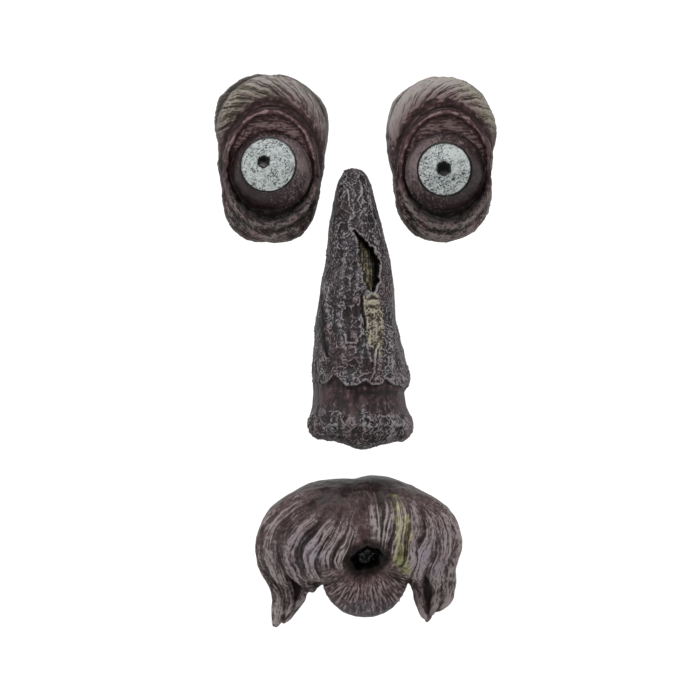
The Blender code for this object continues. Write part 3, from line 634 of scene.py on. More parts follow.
def makeNose():
    piece = pieceFrom("nose")
    width, height, high = piece["width"], piece["height"], nose["relief"]
    clay = bmesh.new()
    addShaped(clay, noseForm(piece), 160, 240)
    wing = width * nose["wing"]
    for across, out, up, deep, tall in nose["wings"]:
        addBall(clay, placeAt(piece, across, out, up), (wing, piece["depth"] * deep, wing * tall))
    addPads(clay, piece, nose["tip"])
    mesh = fuse("fine_nose", clay, casting["cell"])
    points, normals = pointsOf(mesh), normalsOf(mesh)
    x, z = points[:, 0] - piece["middle"].x, points[:, 2] - piece["middle"].z
    front = np.clip(-normals[:, 1], 0, 1)
    notBack = smoothStep(0.0, 0.003, -points[:, 1])

    # the bark ends over a bare band, along an edge that a slow and a quick shift make ragged
    warp = 0.0022 * np.stack([lumps(points, 0.008, 2, seed) for seed in (3.1, 7.7, 11.3)], axis=1)
    warp += 0.0006 * np.stack([lumps(points, 0.0024, 1, seed) for seed in (2.2, 5.6, 8.4)], axis=1)
    warped = points + warp
    edges = np.array(nose["barkEdge"])
    edge = np.interp(x + 0.5 * warp[:, 0], edges[:, 0] * width / 100, edges[:, 1] * height / 100)
    edge += 0.4 * warp[:, 2]
    bare = 1 - smoothStep(-0.0004, 0.0004, z - edge)
    band = bare * (1 - smoothStep(0.012, 0.022, edge - z + 1.5 * warp[:, 1]))
    step = bare * (1 - 0.9 * smoothStep(0.010, 0.024, edge - z))

    # bark: flakes and threads over soft folds, busier in some places than in others
    gaps, levels = flakes(warped, nose["flake"], 2.0)
    fade = np.clip(0.5 + 1.3 * lumps(points, 0.014, 2, 9.0), 0, 1)
    busy = np.clip(0.5 + 1.3 * lumps(points, (0.012, 0.012, 0.022), 2, 27.0), 0.08, 1)
    ridges = high["flakeEdge"] * np.exp(-((gaps / 0.07) ** 2)) * fade + high["flakeLevel"] * levels * fade
    ridges += high["thread"] * threads(warped, nose["threadSize"][0], 0.08, 2, 6.0) * (1 - 0.6 * fade)
    ridges += high["fineThread"] * threads(points, nose["threadSize"][1], 0.15, 1, 13.0) * busy
    ridges *= (1 - 0.75 * band) * (0.45 + 0.55 * busy)
    folds = high["fold"] * lumps(points, nose["folds"], 2, 17.0)
    folds += high["fineFold"] * lumps(points, 0.0065, 2, 29.0)
    folds *= 0.35 + 0.65 * front

    # the split with its lip and brim, the strip under it, the crack, the groove, the veins and the knob
    distance, half, side = pathDistance(x + 0.3 * warp[:, 0], z, metres(piece, nose["hollow"]))
    inside = half - distance + 0.0010 * lumps(points, 0.0035, 2, 4.0) * smoothStep(0.001, 0.003, half)
    hollow = smoothStep(-0.0003, 0.0008, inside)
    acrossHollow = np.clip(side * distance / np.maximum(half, 0.001), -1, 1)
    lip = bump(inside + 0.0006, 0.0013) * (0.6 + 0.4 * acrossHollow) * smoothStep(0.001, 0.003, half)
    lip *= np.clip(0.6 + 1.4 * lumps(points, 0.005, 1, 23.0), 0, 1)
    brim = bump(inside, 0.0012) * (1 - 0.8 * smoothStep(-0.2, 0.6, acrossHollow) * np.clip(lip * 2, 0, 1))
    distance, half, _ = pathDistance(x, z, metres(piece, nose["strip"]))
    strip = smoothStep(-0.0008, 0.0008, half - distance + 0.6 * warp[:, 0]) * (1 - hollow)
    distance, half, _ = pathDistance(x + 0.3 * warp[:, 0], z, metres(piece, nose["crack"]))
    crack = bump(distance, 1.6 * half)
    distance, half, _ = pathDistance(x, z, metres(piece, nose["flank"]))
    flank = bump(distance + 0.0003 * lumps(points, 0.003, 1, 6.0), 2 * half)
    veins = np.zeros(len(x))
    for path in nose["veins"]:
        distance, half, _ = pathDistance(x + 0.4 * warp[:, 0], z + 0.2 * warp[:, 2], metres(piece, path))
        veins = np.maximum(veins, bump(distance, 1.3 * half))
    knobX, knobZ = nose["knob"][0] * width / 100, nose["knob"][1] * height / 100
    knob = bump(np.hypot(x - knobX, 1.9 * (z - knobZ)), nose["knob"][2])
    woodGrain = lumps(points, (0.0010, 0.004, 0.012), 2, 8.0) * hollow

    # raise and sink it all
    relief = ((ridges + folds) * (1 - hollow) - nose["barkThickness"] * step * np.sqrt(front)) * notBack
    relief += high["vein"] * veins + (high["hollowLip"] * lip + high["knob"] * knob) * notBack
    points = points + normals * relief[:, None]
    sink = nose["hollowDepth"] * hollow * (0.62 + 0.38 * acrossHollow) * (1 - 0.8 * knob)
    sink += high["crack"] * crack + high["flank"] * flank
    points[:, 1] += sink * front + high["woodGrain"] * woodGrain
    pressBack(mesh, points, placeAt(piece, nose["nail"][0], 0, nose["nail"][1]))

    # paint: how pale each point is painted, by dry brush, painted shade and light, and which tint lies where
    fine = reliefOf(mesh, 5)
    deep, wide = sunkenness(points, 0.0025), sunkenness(points, 0.006)
    brushAndLight = 0.43 + np.clip(fine / 0.00027, -0.6, 0.55) + 0.25 * veins + 0.2 * lip * (1 - hollow) + 0.5 * knob
    # painted shade: the split darkens towards its right wall and along its brim
    brushAndLight += (0.35 * woodGrain - 0.35 * acrossHollow + 0.05) * hollow + 0.20 * strip - 0.5 * brim
    ledge = bump(z - edge - 0.0004, 0.0014)
    brushAndLight -= 0.7 * ledge * np.clip(0.45 - 1.5 * lumps(points, 0.006, 1, 51.0), 0, 1)
    brushAndLight += 0.14 * lumps(points, (0.010, 0.010, 0.018), 2, 57.0) + 0.12 * levels * fade * (1 - band)
    # painted light: the right side of the nose is painted paler
    brushAndLight += 0.20 * smoothStep(0.2, 0.8, x / (width / 2)) - 0.10 * hollow * (1 - knob) - 0.06 * strip
    facing = smoothStep(0.25, 0.7, front)
    # painted shade in the forward-facing recesses
    brushAndLight -= facing * np.clip(deep, -0.0003, 0.0015) / 0.0030 * (1 - hollow)
    storeMask(mesh, "brushAndLight", brushAndLight)
    storeStrokes(mesh, warped[:, 0], 0.6 * warped[:, 2], warped[:, 1])
    storeMask(mesh, "reddish", 0.8 * smoothStep(0.05, 0.40, lumps(points, (0.014, 0.014, 0.024), 2, 63.0)))
    storeMask(mesh, "band", band)
    storeMask(mesh, "calm", 0.6 * band)
    storeMask(mesh, "hollow", hollow)
    strip = strip * np.clip(0.9 + 0.7 * lumps(points, 0.006, 1, 21.0), 0, 1)
    storeMask(mesh, "strip", np.maximum(strip, knob))
    # painted shade in the crack, the groove, the split's right side and the wide recesses
    shade = np.maximum(0.55 * crack, 0.75 * flank)
    shade = np.maximum(shade, hollow * (0.10 + 0.75 * smoothStep(-0.1, 0.7, acrossHollow)) * (1 - knob))
    shade = np.maximum(shade, 0.6 * facing * smoothStep(0.0006, 0.0030, wide) * (1 - hollow))
    storeMask(mesh, "shade", shade)
    storeMask(mesh, "gloss", np.zeros(len(x)))
    finishPiece(mesh, piece, castResin("bark_cast_resin", nose["paint"]))


makeNose()


# The eyes: a bulging ball in a socket with rolled lids, under a swept brow. x is + on the outer side

eye = {
    "baseDepth": 52,  # hundredths of the casting's depth
    "sharpness": 3.0,
    "ball": 0.0262,  # radii and distances in metres
    "proud": 0.0035,  # how far the ball stands before everything else
    "gap": 0.0022,  # between the ball and its lids
    "rim": 0.0017,
    "lowerLid": 0.0042,
    "arch": 0.40,  # how much higher than the ball the upper lid arches, as a share of the ball
    "pouch": 0.28,
    "corners": (34, 8),  # degrees that the upper and lower lids reach past the ball's middle
    "lidSteps": 18,
    "socketEdge": 40.5,  # hundredths of the width
    "brow": (  # x, y, z in hundredths and radius in metres
        (38, 28, 9, 0.0060), (34.5, 46, 22, 0.0088), (20, 60, 34, 0.0102), (0, 64, 38.5, 0.0106),
        (-22, 58, 33.5, 0.0102), (-36, 42, 20, 0.0084), (-40, 24, 6, 0.0056),
    ),
    "tufts": 10,
    "tuftAngles": (61, 160),  # where the tufts start round the ball, in degrees
    "tuftSweep": 28,  # how far they lean inwards as they rise
    "bareLid": 0.30,  # over the middle of the eye the hair starts this much higher above the lid
    "irisSink": 0.0012,
    "irisDome": 0.0030,
    "grooveDepth": 0.0009,
    "pitDepth": 0.00022,
    "pupilDepth": 0.0030,
    "nailHeight": 34,
    # heights and depths of the carving, in metres
    "relief": {
        "strand": 0.0009, "hair": 0.0004, "tuft": 0.0009, "lump": 0.0008, "crease": 0.00035, "nick": 0.00040,
        "fleck": 0.00025, "lidFold": 0.00035, "scratch": 0.00010,
    },
    "paint": {
        "shadeColour": "#080505", "wash": "#1a1213", "body": "#3c3231", "bodyToo": "#3a3430", "brush": "#7f7674",
        "tints": (
            ("lid", "#2b191a", "#4b3436", "#836d6e"),
            ("hair", "#2c2523", "#574e4b", "#938c89"),
            ("moss", "#2a261d", "#585340", "#8f8b75"),
            ("ball", "#160e0f", "#352829", "#77696b"),
            ("iris", "#303435", "#868b8b", "#b9bfbe"),
            ("ink", "#040404", "#080808", "#1b1b1b"),
        ),
        "gritSize": 1.0, "patchSize": 12, "ragged": 0.08, "cloudy": 0.12,
        "strokeWidth": 0.8, "strokes": 0.24, "lines": 0.20,
        "washRange": (0.20, 0.52), "brushRange": (0.60, 0.95),
        "washRoughness": 0.44, "brushRoughness": 0.72, "gritHeight": 0.18,
    },
}
eyes = {
    "eye_left": {
        "side": -1,
        "outline": (
            (1, 50), (-27, 45), (-36.5, 40), (-43, 35.5), (-47.5, 30.5), (-50, 21), (-49, 11.5),
            (-46.5, 2), (-42, -17.5), (-36, -37), (-25.5, -46.5), (2.5, -50), (27.5, -46.5),
            (34.5, -41.5), (39.5, -36.5), (43, -17.5), (46.5, -1), (46, 7.5), (50, 21),
            (46.5, 35.5), (31, 45.5),
        ),
        "ball": (0, -8.4),
        "gaze": (0.075, 0.175),  # how far the iris looks aside and up
        "iris": 0.0175,
        "pupil": (0.0027, 0.0015),  # beside the middle of the iris
        "pupilRadius": 0.0043,
        "paler": 0.06,
    },
    "eye_right": {
        "side": 1,
        "outline": (
            (2.7, 50), (-26.5, 45), (-37.5, 40), (-44.5, 35), (-50, 20), (-50, 10.5), (-44.5, -9.5),
            (-42, -24), (-39, -34), (-29, -44), (-10, -50), (13, -49.5), (30, -44), (41, -34),
            (44.5, -24), (44.5, -9.5), (46.5, 4.5), (50, 15.5), (48, 25), (44.5, 30), (36.5, 40),
            (27.5, 45),
        ),
        "ball": (2.7, -8.6),
        "gaze": (-0.055, 0.03),
        "iris": 0.0168,
        "pupil": (-0.0004, 0.0002),
        "pupilRadius": 0.0049,
        "paler": 0.32,
    },
}


# The upper lid's body, its thin rim and the fold over it, and the lower lid's two pouches
def lidRolls(piece, ballX, ballZ):
    ball, rim, lower = eye["ball"], eye["rim"], eye["lowerLid"]
    # up or down, height beyond the ball, then depth and radius, each at the corners and in the middle
    lids = (
        (1, 0.5 * eye["arch"], 40, 54, 1.2 * rim, 3.8 * rim),
        (1, eye["arch"], 56, 90, 0.7 * rim, rim),
        (1, 1.12 * eye["arch"], 42, 74, 1.4 * rim, 2.4 * rim),
        (1, 1.55 * eye["arch"], 38, 80, 1.0 * rim, 1.7 * rim),
        (-1, eye["pouch"], 42, 56, 0.55 * lower, 0.95 * lower),
        (-1, 1.86 * eye["pouch"], 24, 38, 0.55 * lower, 1.05 * lower),
    )
    rolls = []
    for way, beyond, cornerDepth, depth, cornerRadius, radius in lids:
        roll = []
        corner = eye["corners"][0] if way > 0 else eye["corners"][1]
        for step in range(eye["lidSteps"] + 1):
            turn = math.radians((180 * way + 2 * corner) * step / eye["lidSteps"] - corner)
            rise = max(-0.3, way * math.sin(turn))
            across = ballX + 100 * (ball + eye["gap"]) * math.cos(turn) / piece["width"]
            up = ballZ + 100 * ball * (1 + beyond) * math.sin(turn) / piece["height"]
            thickness = cornerRadius + (radius - cornerRadius) * max(0, rise)
            outward = cornerDepth + (depth - cornerDepth) * rise
            roll.append((min(across, eye["socketEdge"]), outward, up, thickness))
        rolls.append(roll)
    return rolls


# Sinks the iris, the groove round it and the pupil in the ball, and tells where each of them is
def carveBall(own, points, centre):
    ball, iris = eye["ball"], own["iris"]
    axis = np.array(Vector((own["side"] * own["gaze"][0], -1, own["gaze"][1])).normalized())
    beside = points - np.array(centre)
    forward = beside @ axis
    across = beside - forward[:, None] * axis
    fromAxis = np.linalg.norm(across, axis=1)
    ahead = forward > 0
    flat = math.sqrt(ball**2 - iris**2) - eye["irisSink"]
    flat = flat + eye["irisDome"] * np.clip(1 - (fromAxis / iris) ** 2, 0, 1)
    onIris = (1 - smoothStep(iris - 0.0006, iris, fromAxis)) * ahead
    groove = bump(fromAxis - iris - 0.0002, 0.0009) * ahead
    toPupil = across - np.array((own["side"] * own["pupil"][0], 0, own["pupil"][1]))
    sixSided = 1 + 0.05 * np.cos(6 * np.arctan2(toPupil[:, 2], toPupil[:, 0]))
    fromPupil = np.linalg.norm(toPupil, axis=1) * sixSided
    pupil = (1 - smoothStep(own["pupilRadius"] - 0.0008, own["pupilRadius"], fromPupil)) * ahead
    pits = lumps(points, 0.0012, 2, 2.0)
    push = np.minimum(0, flat - forward) * onIris - eye["grooveDepth"] * groove
    push += eye["pitDepth"] * pits * onIris * (1 - pupil)
    push -= eye["pupilDepth"] * pupil * (0.75 + 0.25 * bump(fromPupil, own["pupilRadius"]))
    onBall = (1 - smoothStep(ball + 0.0004, ball + 0.0014, np.linalg.norm(beside, axis=1))) * ahead
    marks = {"iris": onIris, "groove": groove, "pupil": pupil, "pits": pits, "ball": onBall}
    return points + axis * push[:, None], marks


# Each point's place across the brow's tufts, whole numbers on their crests, its height over the lid
# and how far it is hair
def browPlace(points, x, z):
    turn = np.degrees(np.arctan2(z, x))
    turn = np.where(turn < -90, turn + 360, turn)
    sideways, upwards = np.cos(np.radians(turn)), np.sin(np.radians(turn))
    over = (np.hypot(x, z) / eye["ball"] - np.hypot(1.1 * sideways, (1.1 + eye["arch"]) * upwards)) / 0.6
    first, last = eye["tuftAngles"]
    tuft = (turn + eye["tuftSweep"] * over - first) / (last - first)
    over = over - eye["bareLid"] * bump(tuft - 0.55, 0.75)
    hair = smoothStep(0.06, 0.32, over) * smoothStep(-0.24, 0.04, tuft) * smoothStep(-1.12, -1.0, -tuft)
    return tuft * (eye["tufts"] - 1), over, hair


def makeEye(node, own):
    piece = pieceFrom(node, own["side"])
    ball, high = eye["ball"], eye["relief"]
    clay = bmesh.new()
    base = domeForm(piece, own["outline"], eye["baseDepth"], eye["sharpness"], casting["behindBack"])
    addShaped(clay, base, 160, 90)
    addRolls(clay, piece, [eye["brow"]])
    addRolls(clay, piece, lidRolls(piece, *own["ball"]))
    centre = placeAt(piece, own["ball"][0], 0, own["ball"][1])
    centre.y = ball - piece["depth"] - eye["proud"]
    addBall(clay, centre, (ball, ball, ball))
    mesh = fuse("fine_" + node, clay, casting["cell"])
    rough = pointsOf(mesh)
    rise, aside = rough[:, 2] - centre.z, rough[:, 0] - centre.x
    pouch = np.hypot(aside / (ball + eye["gap"]), rise / (ball * (1 + eye["pouch"])))
    sagging = smoothStep(1.02, 1.12, pouch) * smoothStep(0.2, -0.3, rise / ball)  # the pouches run together
    arch = np.hypot(aside / (ball + eye["gap"]), rise / (ball * (1 + eye["arch"])))
    offBall = np.linalg.norm(rough - np.array(centre), axis=1) > ball + 0.0002
    hooded = (1 - smoothStep(0.92, 0.97, arch)) * smoothStep(0.1, 0.4, rise / ball) * offBall
    soft = 0.7 * np.maximum(sagging, hooded) * (rough[:, 1] < -0.002)
    moveTo(mesh, evened(mesh, rough, 26, soft))
    points, normals = pointsOf(mesh), normalsOf(mesh)
    x = own["side"] * (points[:, 0] - centre.x)
    z = points[:, 2] - centre.z
    notBack = smoothStep(0.0, 0.003, -points[:, 1])
    front = np.clip(-normals[:, 1], 0, 1)
    moved, marks = carveBall(own, points, centre)

    # brow hair
    tuft, over, hair = browPlace(points, x, z)
    wave = lumps(points, 0.011, 2, 3.0)
    tuft = tuft + 0.3 * wave
    combed = np.stack([tuft, 0.6 * over, 0 * tuft], axis=1)
    matted = 1 - 0.65 * smoothStep(0.1, -0.7, x / ball)  # the inner hair lies flatter
    gaps = smoothStep(0.66, 1.0, np.abs(np.sin(np.pi * tuft)))
    gaps *= np.clip(0.6 + 0.9 * lumps(points, 0.009, 1, 41.0), 0.1, 1)
    strands, hairs = lumps(combed, (0.24, 1, 1), 2, 5.0), lumps(combed, (0.11, 0.5, 1), 1, 9.0)
    relief = (high["strand"] * strands + high["hair"] * hairs - high["tuft"] * gaps) * hair * matted
    relief *= (0.4 + 0.6 * front) * notBack

    # creased skin on the lids and cheeks
    reach = np.where(z > 0, 1 + eye["arch"], 1 + eye["pouch"]) * ball
    ring = np.hypot(x / (ball + eye["gap"]), z / reach)
    turn = np.arctan2(z, x)
    turn = np.where(turn < -np.pi / 2, turn + math.tau, turn)
    onBall, onIris, pupil = marks["ball"], marks["iris"], marks["pupil"]
    skin = (1 - hair) * (1 - onBall)
    lid = skin * smoothStep(-0.9, -0.3, z / ball) * (1 - smoothStep(1.5, 1.8, ring))
    lid *= 1 - smoothStep(1.06, 1.16, ring) * smoothStep(0.6, 0.1, z / ball)
    cheek = skin * (1 - lid) * notBack
    underArch = smoothStep(0.1, 0.5, z / ball) * (1 - smoothStep(0.92, 1.0, ring)) * (1 - onBall)
    folded = threads(points, (0.014, 0.014, 0.0028), 0.16, 2, 8.0) * underArch
    creases = threads(np.stack([ring * 0.9 + 0.12 * wave, 0.14 * turn, 0 * z], axis=1), 0.11, 0.22, 2, 6.0)
    broken = np.clip(0.55 + lumps(points, 0.007, 2, 7.0), 0, 1)
    slanted = np.stack([0.026 * ring + 0.010 * turn, 0.008 * turn, points[:, 1]], axis=1)
    nicks = threads(slanted, 0.0020, 0.12, 2, 35.0) * broken
    flecks = threads(points + 0.4 * points[:, [2, 1, 0]], (0.003, 0.003, 0.005), 0.14, 2, 8.0)
    sagged = high["lump"] * lumps(points, 0.006, 2, 18.0) - high["crease"] * creases * broken
    relief += sagged * skin * notBack
    relief += (high["nick"] * nicks + high["fleck"] * flecks) * cheek + high["lidFold"] * folded
    beside = points - np.array(centre)
    slanting = 0.9 * beside[:, 0] + 0.4 * beside[:, 2], 0.9 * beside[:, 2] - 0.4 * beside[:, 0]
    scratches = threads(np.stack([*slanting, beside[:, 1]], axis=1), (0.0014, 0.006, 0.006), 0.1, 2, 9.0)
    relief += high["scratch"] * scratches * onBall
    moved += normals * (relief * (1 - onIris))[:, None]
    pressBack(mesh, moved, placeAt(piece, 0, 0, eye["nailHeight"]))

    # paint: how pale each point is painted, by dry brush, painted shade and light, and which tint lies where
    fine = reliefOf(mesh, 5)
    deep, wide = sunkenness(moved, 0.0025), sunkenness(moved, 0.006)
    facing = smoothStep(0.25, 0.7, front)
    upper = smoothStep(-0.35, 0.15, z / ball)
    uneven = np.clip(0.5 + 1.2 * lumps(points, 0.008, 2, 51.0), 0, 1)
    # painted shade in the forward-facing recesses, little of it under the arch
    brushAndLight = 0.46 + fine / 0.00050 - facing * np.clip(deep, -0.0008, 0.0015) / 0.0032 * (1 - 0.8 * underArch)
    # painted light: under the upper lid's arch, which shades it, the paint is paler
    brushAndLight += own["paler"] * hair + 0.10 * lumps(points, 0.014, 2, 37.0) + (0.31 + 0.14 * folded) * underArch
    # painted light: the brow's sides that face away are painted paler
    brushAndLight += (0.06 + 0.5 * own["paler"]) * cheek + 0.06 * hair * (1 - facing)
    brushAndLight -= 0.14 * hair * smoothStep(0.3, 1.0, x / ball)
    rim = 0.60 * bump(ring - 1.0, 0.026) * uneven - 0.50 * bump(ring - 1.0, 0.12)
    lowerRim = 0.50 * bump(ring - 0.97, 0.022) * uneven - 0.30 * bump(ring - 1.0, 0.10)
    brushAndLight += (upper * rim + (1 - upper) * lowerRim) * skin + 0.12 * nicks * cheek
    lit = np.clip(0.5 - 0.5 * x / ball, 0, 1)  # painted light: the ball's inner side, and its top, are painted paler
    brushAndLight = np.where(onBall > 0.5, 0.34 + 0.35 * scratches + 0.50 * lit**1.5 + 0.12 * z / ball, brushAndLight)
    specks = threads(points, 0.0015, 0.10, 2, 12.0)
    offAxis = own["side"] * x / own["iris"]
    specks *= np.clip(0.80 - 0.5 * offAxis + 1.4 * lumps(points, 0.008, 1, 15.0), 0.1, 1)
    brushAndLight = np.where(onIris > 0.5, 0.86 + 0.28 * marks["pits"] - 1.15 * specks, brushAndLight)
    storeMask(mesh, "brushAndLight", brushAndLight * (1 - pupil) - 0.5 * marks["groove"])
    aim = 0.026 * ring + 0.006 * turn
    aim, along = np.where(onBall > 0.5, points[:, 0], aim), np.where(onBall > 0.5, points[:, 2], 0.005 * turn)
    aim = aim + hair * (0.0072 * tuft - aim)
    along = along + hair * (0.003 * over - along)
    storeStrokes(mesh, aim, along, 0.5 * points[:, 1])
    storeMask(mesh, "hair", hair * smoothStep(0.15, 0.75, over))
    olive = np.clip(0.30 + 0.6 * x / ball + 0.8 * lumps(points, 0.012, 2, 14.0), 0, 1)
    storeMask(mesh, "moss", 0.5 * hair * olive)
    flushed = smoothStep(-0.1, 0.4, lumps(points, 0.010, 2, 77.0)) * cheek
    storeMask(mesh, "lid", np.maximum(np.maximum(lid, 0.8 * hair), 0.7 * flushed))
    storeMask(mesh, "ball", onBall)
    storeMask(mesh, "calm", np.maximum(0.65 * lid, 0.5 * onBall))
    storeMask(mesh, "iris", onIris)
    storeMask(mesh, "ink", np.maximum(pupil, 0.9 * marks["groove"]))
    # painted shade: in the wide recesses, less on the upper part and none under the arch, deepest in the gap
    # under the ball
    shade = 0.7 * facing * smoothStep(0.0014, 0.0060, wide) * (1 - onBall)
    shade *= (1 - 0.85 * smoothStep(0.0, 0.5, z / ball)) * (1 - underArch)
    beneath = bump(ring - 0.93, 0.16) * (1 - onBall) * smoothStep(0.35, -0.3, z / ball)
    storeMask(mesh, "shade", np.maximum(shade, 0.9 * beneath) * (1 - onIris))
    storeMask(mesh, "gloss", np.maximum(0.6 * pupil, 0.45 * onBall * (1 - onIris)))
    finishPiece(mesh, piece, castResin(node + "_cast_resin", eye["paint"]))


for node, own in eyes.items():
    makeEye(node, own)


# The mouth: a swept moustache in locks over a pouting lower lip

mouth = {
    "outline": (
        (5.5, 50), (-2, 47.5), (-12, 47.5), (-24, 44.7), (-31, 39.4), (-37.6, 34), (-42.3, 28.8),
        (-47, 18), (-49.5, 7.5), (-49.5, -3), (-44, -13), (-32, -18), (-18, -20), (3, -22),
        (22, -18), (34, -16), (44, -14), (48, -3), (50, 7.5), (48, 18), (43, 28.8), (38, 34),
        (31, 39.4), (22.7, 44.7), (14, 49),
    ),
    "massDepth": 88,  # of the depth that the locks reach
    "lockFront": 94.6,
    "sharpness": 2.0,
    "lockSunk": 0.45,  # shares of a lock's radius
    "lockLift": 1.25,
    # each lock from root to tip as (x, z, radius in mm), from the left side to the right
    "locks": (
        (
            (-9, 43.5, 1.6), (-27, 35.8, 4.4), (-38.8, 25.4, 5), (-45.5, 9.6, 5), (-45.7, -4.3, 5),
            (-42.3, -16.9, 5), (-38.4, -29, 5), (-38.8, -39, 4.8), (-39.6, -46, 3.8),
            (-40.2, -50.2, 1.8),
        ),
        (
            (-8.4, 41, 2.4), (-26.1, 32.1, 5), (-37.6, 19.5, 5.4), (-41.4, 3.6, 5.6),
            (-39, -10.9, 5.4), (-34.7, -24.2, 4.8), (-33.6, -35.4, 4.4), (-35.4, -44, 3.4),
            (-36.2, -48, 1.4),
        ),
        (
            (-8.4, 38, 2.4), (-22.7, 20.2, 5), (-32.3, 3.6, 5.2), (-32.3, -7.6, 5),
            (-27.5, -18.2, 4), (-21.1, -26.8, 2.4),
        ),
        (
            (-6.7, 36, 2.4), (-15.1, 15.6, 5), (-22.7, -0.3, 5), (-22.5, -10.3, 4.2),
            (-18.9, -16.9, 2.6),
        ),
        (
            (-4.5, 33.4, 2.4), (-9.8, 12.3, 4.6), (-16, -1.7, 4.4), (-15.3, -13.6, 2.8),
        ),
        (
            (-1.7, 28, 2), (-4.3, 10.9, 4.4), (-8.6, -3.6, 4), (-7.9, -10.9, 2.6),
        ),
        (
            (-0.2, 19, 1.6), (-2.4, 3.6, 3.4), (-5.5, -7, 2.2),
        ),
        (
            (5, 43, 2), (7.7, 32.1, 4.2), (8.9, 16.9, 4.4), (8.6, 5.6, 2.6),
        ),
        (
            (11.5, 42, 2.4), (14.1, 28.1, 4.8), (12.9, 13.6, 4.6), (11.2, 1.7, 2.6),
        ),
        (
            (15, 42, 2.4), (19.9, 31.5, 5), (20.3, 18.2, 5), (18.4, 4.3, 4.4), (16.5, -4.3, 2.6),
        ),
        (
            (18, 41.5, 2.4), (25.6, 28.8, 5), (26.8, 15.6, 5.2), (25.4, 3.6, 5), (26.6, -5.6, 4.4),
            (22.7, -11.6, 3.6), (18.7, -13.6, 2.4),
        ),
        (
            (19.5, 40.6, 2.4), (30.4, 30, 5), (34.2, 17.4, 5.4), (32.3, 4.3, 5.4),
            (29.4, -7.6, 4.8), (29.4, -22.2, 3.8), (31.1, -34.8, 3.6), (32.8, -43, 2.8),
            (33.2, -47.4, 1.2),
        ),
        (
            (20.6, 40.6, 2.4), (34.4, 28.6, 5), (40.2, 16.4, 5.4), (40, 2.3, 5.6),
            (36.6, -10.3, 5.4), (38, -23.5, 4.8), (36.6, -34.8, 4), (34.8, -41, 3),
            (33.8, -46, 1.2),
        ),
        (
            (21, 42, 1.6), (36, 31, 4.2), (43.4, 19, 4.8), (46.2, 7, 5), (43.5, -8.9, 5),
            (43.6, -22.6, 4.8), (43.2, -31, 4), (39.6, -37.5, 2.8), (35.6, -41, 1.2),
        ),
    ),
    # the hollow inner sides of the two tips, and the thin locks along their inner edges
    "webs": (
        ((-32.4, -11, 5.4), (-31.4, -25.5, 5.6), (-32.4, -34, 5), (-35.4, -43, 3.6), (-36, -46, 1.4)),
        ((-22.2, -14, 5), (-19.6, -22, 4.2), (-18.6, -24, 2)),
        ((33.7, -12, 5.4), (34, -25.5, 5.6), (33.4, -36, 4.2), (33.2, -41, 2)),
    ),
    "tipEdges": (
        ((-26.4, -18, 2.2), (-27.2, -30, 3), (-31.2, -38, 2.8), (-34, -44.4, 2.4), (-35, -47.4, 1)),
        ((24.6, -15.6, 2.4), (27, -24.2, 2.8), (29.6, -36.1, 2.8), (31.8, -43, 2.4), (32.8, -46, 1)),
    ),
    "webDepth": 1.8,
    "tipEdgeDepth": 5.4,
    "philtrum": ((1.0, 36, 3.0), (1.2, 18, 5.6), (2.8, 3, 7.0)),
    "philtrumDepth": 0.0036,
    # a lock brushed yellow, green at its lower end, as (x, z, half width in mm)
    "yellow": (
        (17, 38, 2.0), (19.2, 29, 3.6), (21.5, 18, 4.4), (20.6, 7, 4.4), (20, -3, 4.0), (22.5, -10, 2.4),
    ),
    "hole": (3.8, -3.0),
    "holeSize": (0.0190, 0.0135, 0.0120),  # width, height, depth
    "holeFloor": 0.0090,
    "lip": (3, -12),
    "lipPads": ((3.1, 22, -18.5, 0.206, 0.70, 0.253), (3.4, 42, -21, 0.17, 0.51, 0.16)),
    # heights and depths of the carving, in metres
    "relief": {
        "strand": 0.0006, "crease": 0.0008, "thread": 0.00010, "lump": 0.0005, "wrinkle": 0.0013,
        "belowHole": 0.0016, "holeGrit": 0.0014,
    },
    "nailHeight": 28,
    "cell": 0.00067,  # coarser, to keep within the faces that one piece may have
    "paint": {
        "shadeColour": "#0a0606", "wash": "#221919", "body": "#4e4243", "bodyToo": "#4c3d3c", "brush": "#9d9293",
        "tints": (
            ("skin", "#231516", "#4f3a3b", "#8a7b7d"),
            ("lilac", "#2a2325", "#55505a", "#8f8a96"),
            ("yellow", "#4f482c", "#857f60", "#bab48e"),
            ("green", "#28260f", "#5f5c3a", "#8f8e68"),
            ("ink", "#030202", "#070505", "#15100f"),
        ),
        "gritSize": 1.0, "patchSize": 13, "ragged": 0.08, "cloudy": 0.12,
        "strokeWidth": 0.8, "strokes": 0.30, "lines": 0.26,
        "washRange": (0.14, 0.58), "brushRange": (0.57, 1.00),
        "washRoughness": 0.44, "brushRoughness": 0.72, "gritHeight": 0.18,
    },
}


def lockPaths(piece):
    paths = []
    for lock in mouth["locks"]:
        path = []
        for x, z, radius in lock:
            thickness = radius / 1000
            surface = piece["depth"] * mouth["massDepth"] / mouth["lockFront"]
            surface *= domeShare(mouth["outline"], mouth["sharpness"], x, z)
            depth = max(surface - mouth["lockSunk"] * thickness, mouth["lockLift"] * thickness)
            path.append((x, 100 * depth / piece["depth"], z, thickness))
        paths.append(path)
    for rolls, depth in ((mouth["webs"], mouth["webDepth"]), (mouth["tipEdges"], mouth["tipEdgeDepth"])):
        share = 100 * depth / 1000 / piece["depth"]
        paths += [[(x, share, z, radius / 1000) for x, z, radius in roll] for roll in rolls]
    return paths


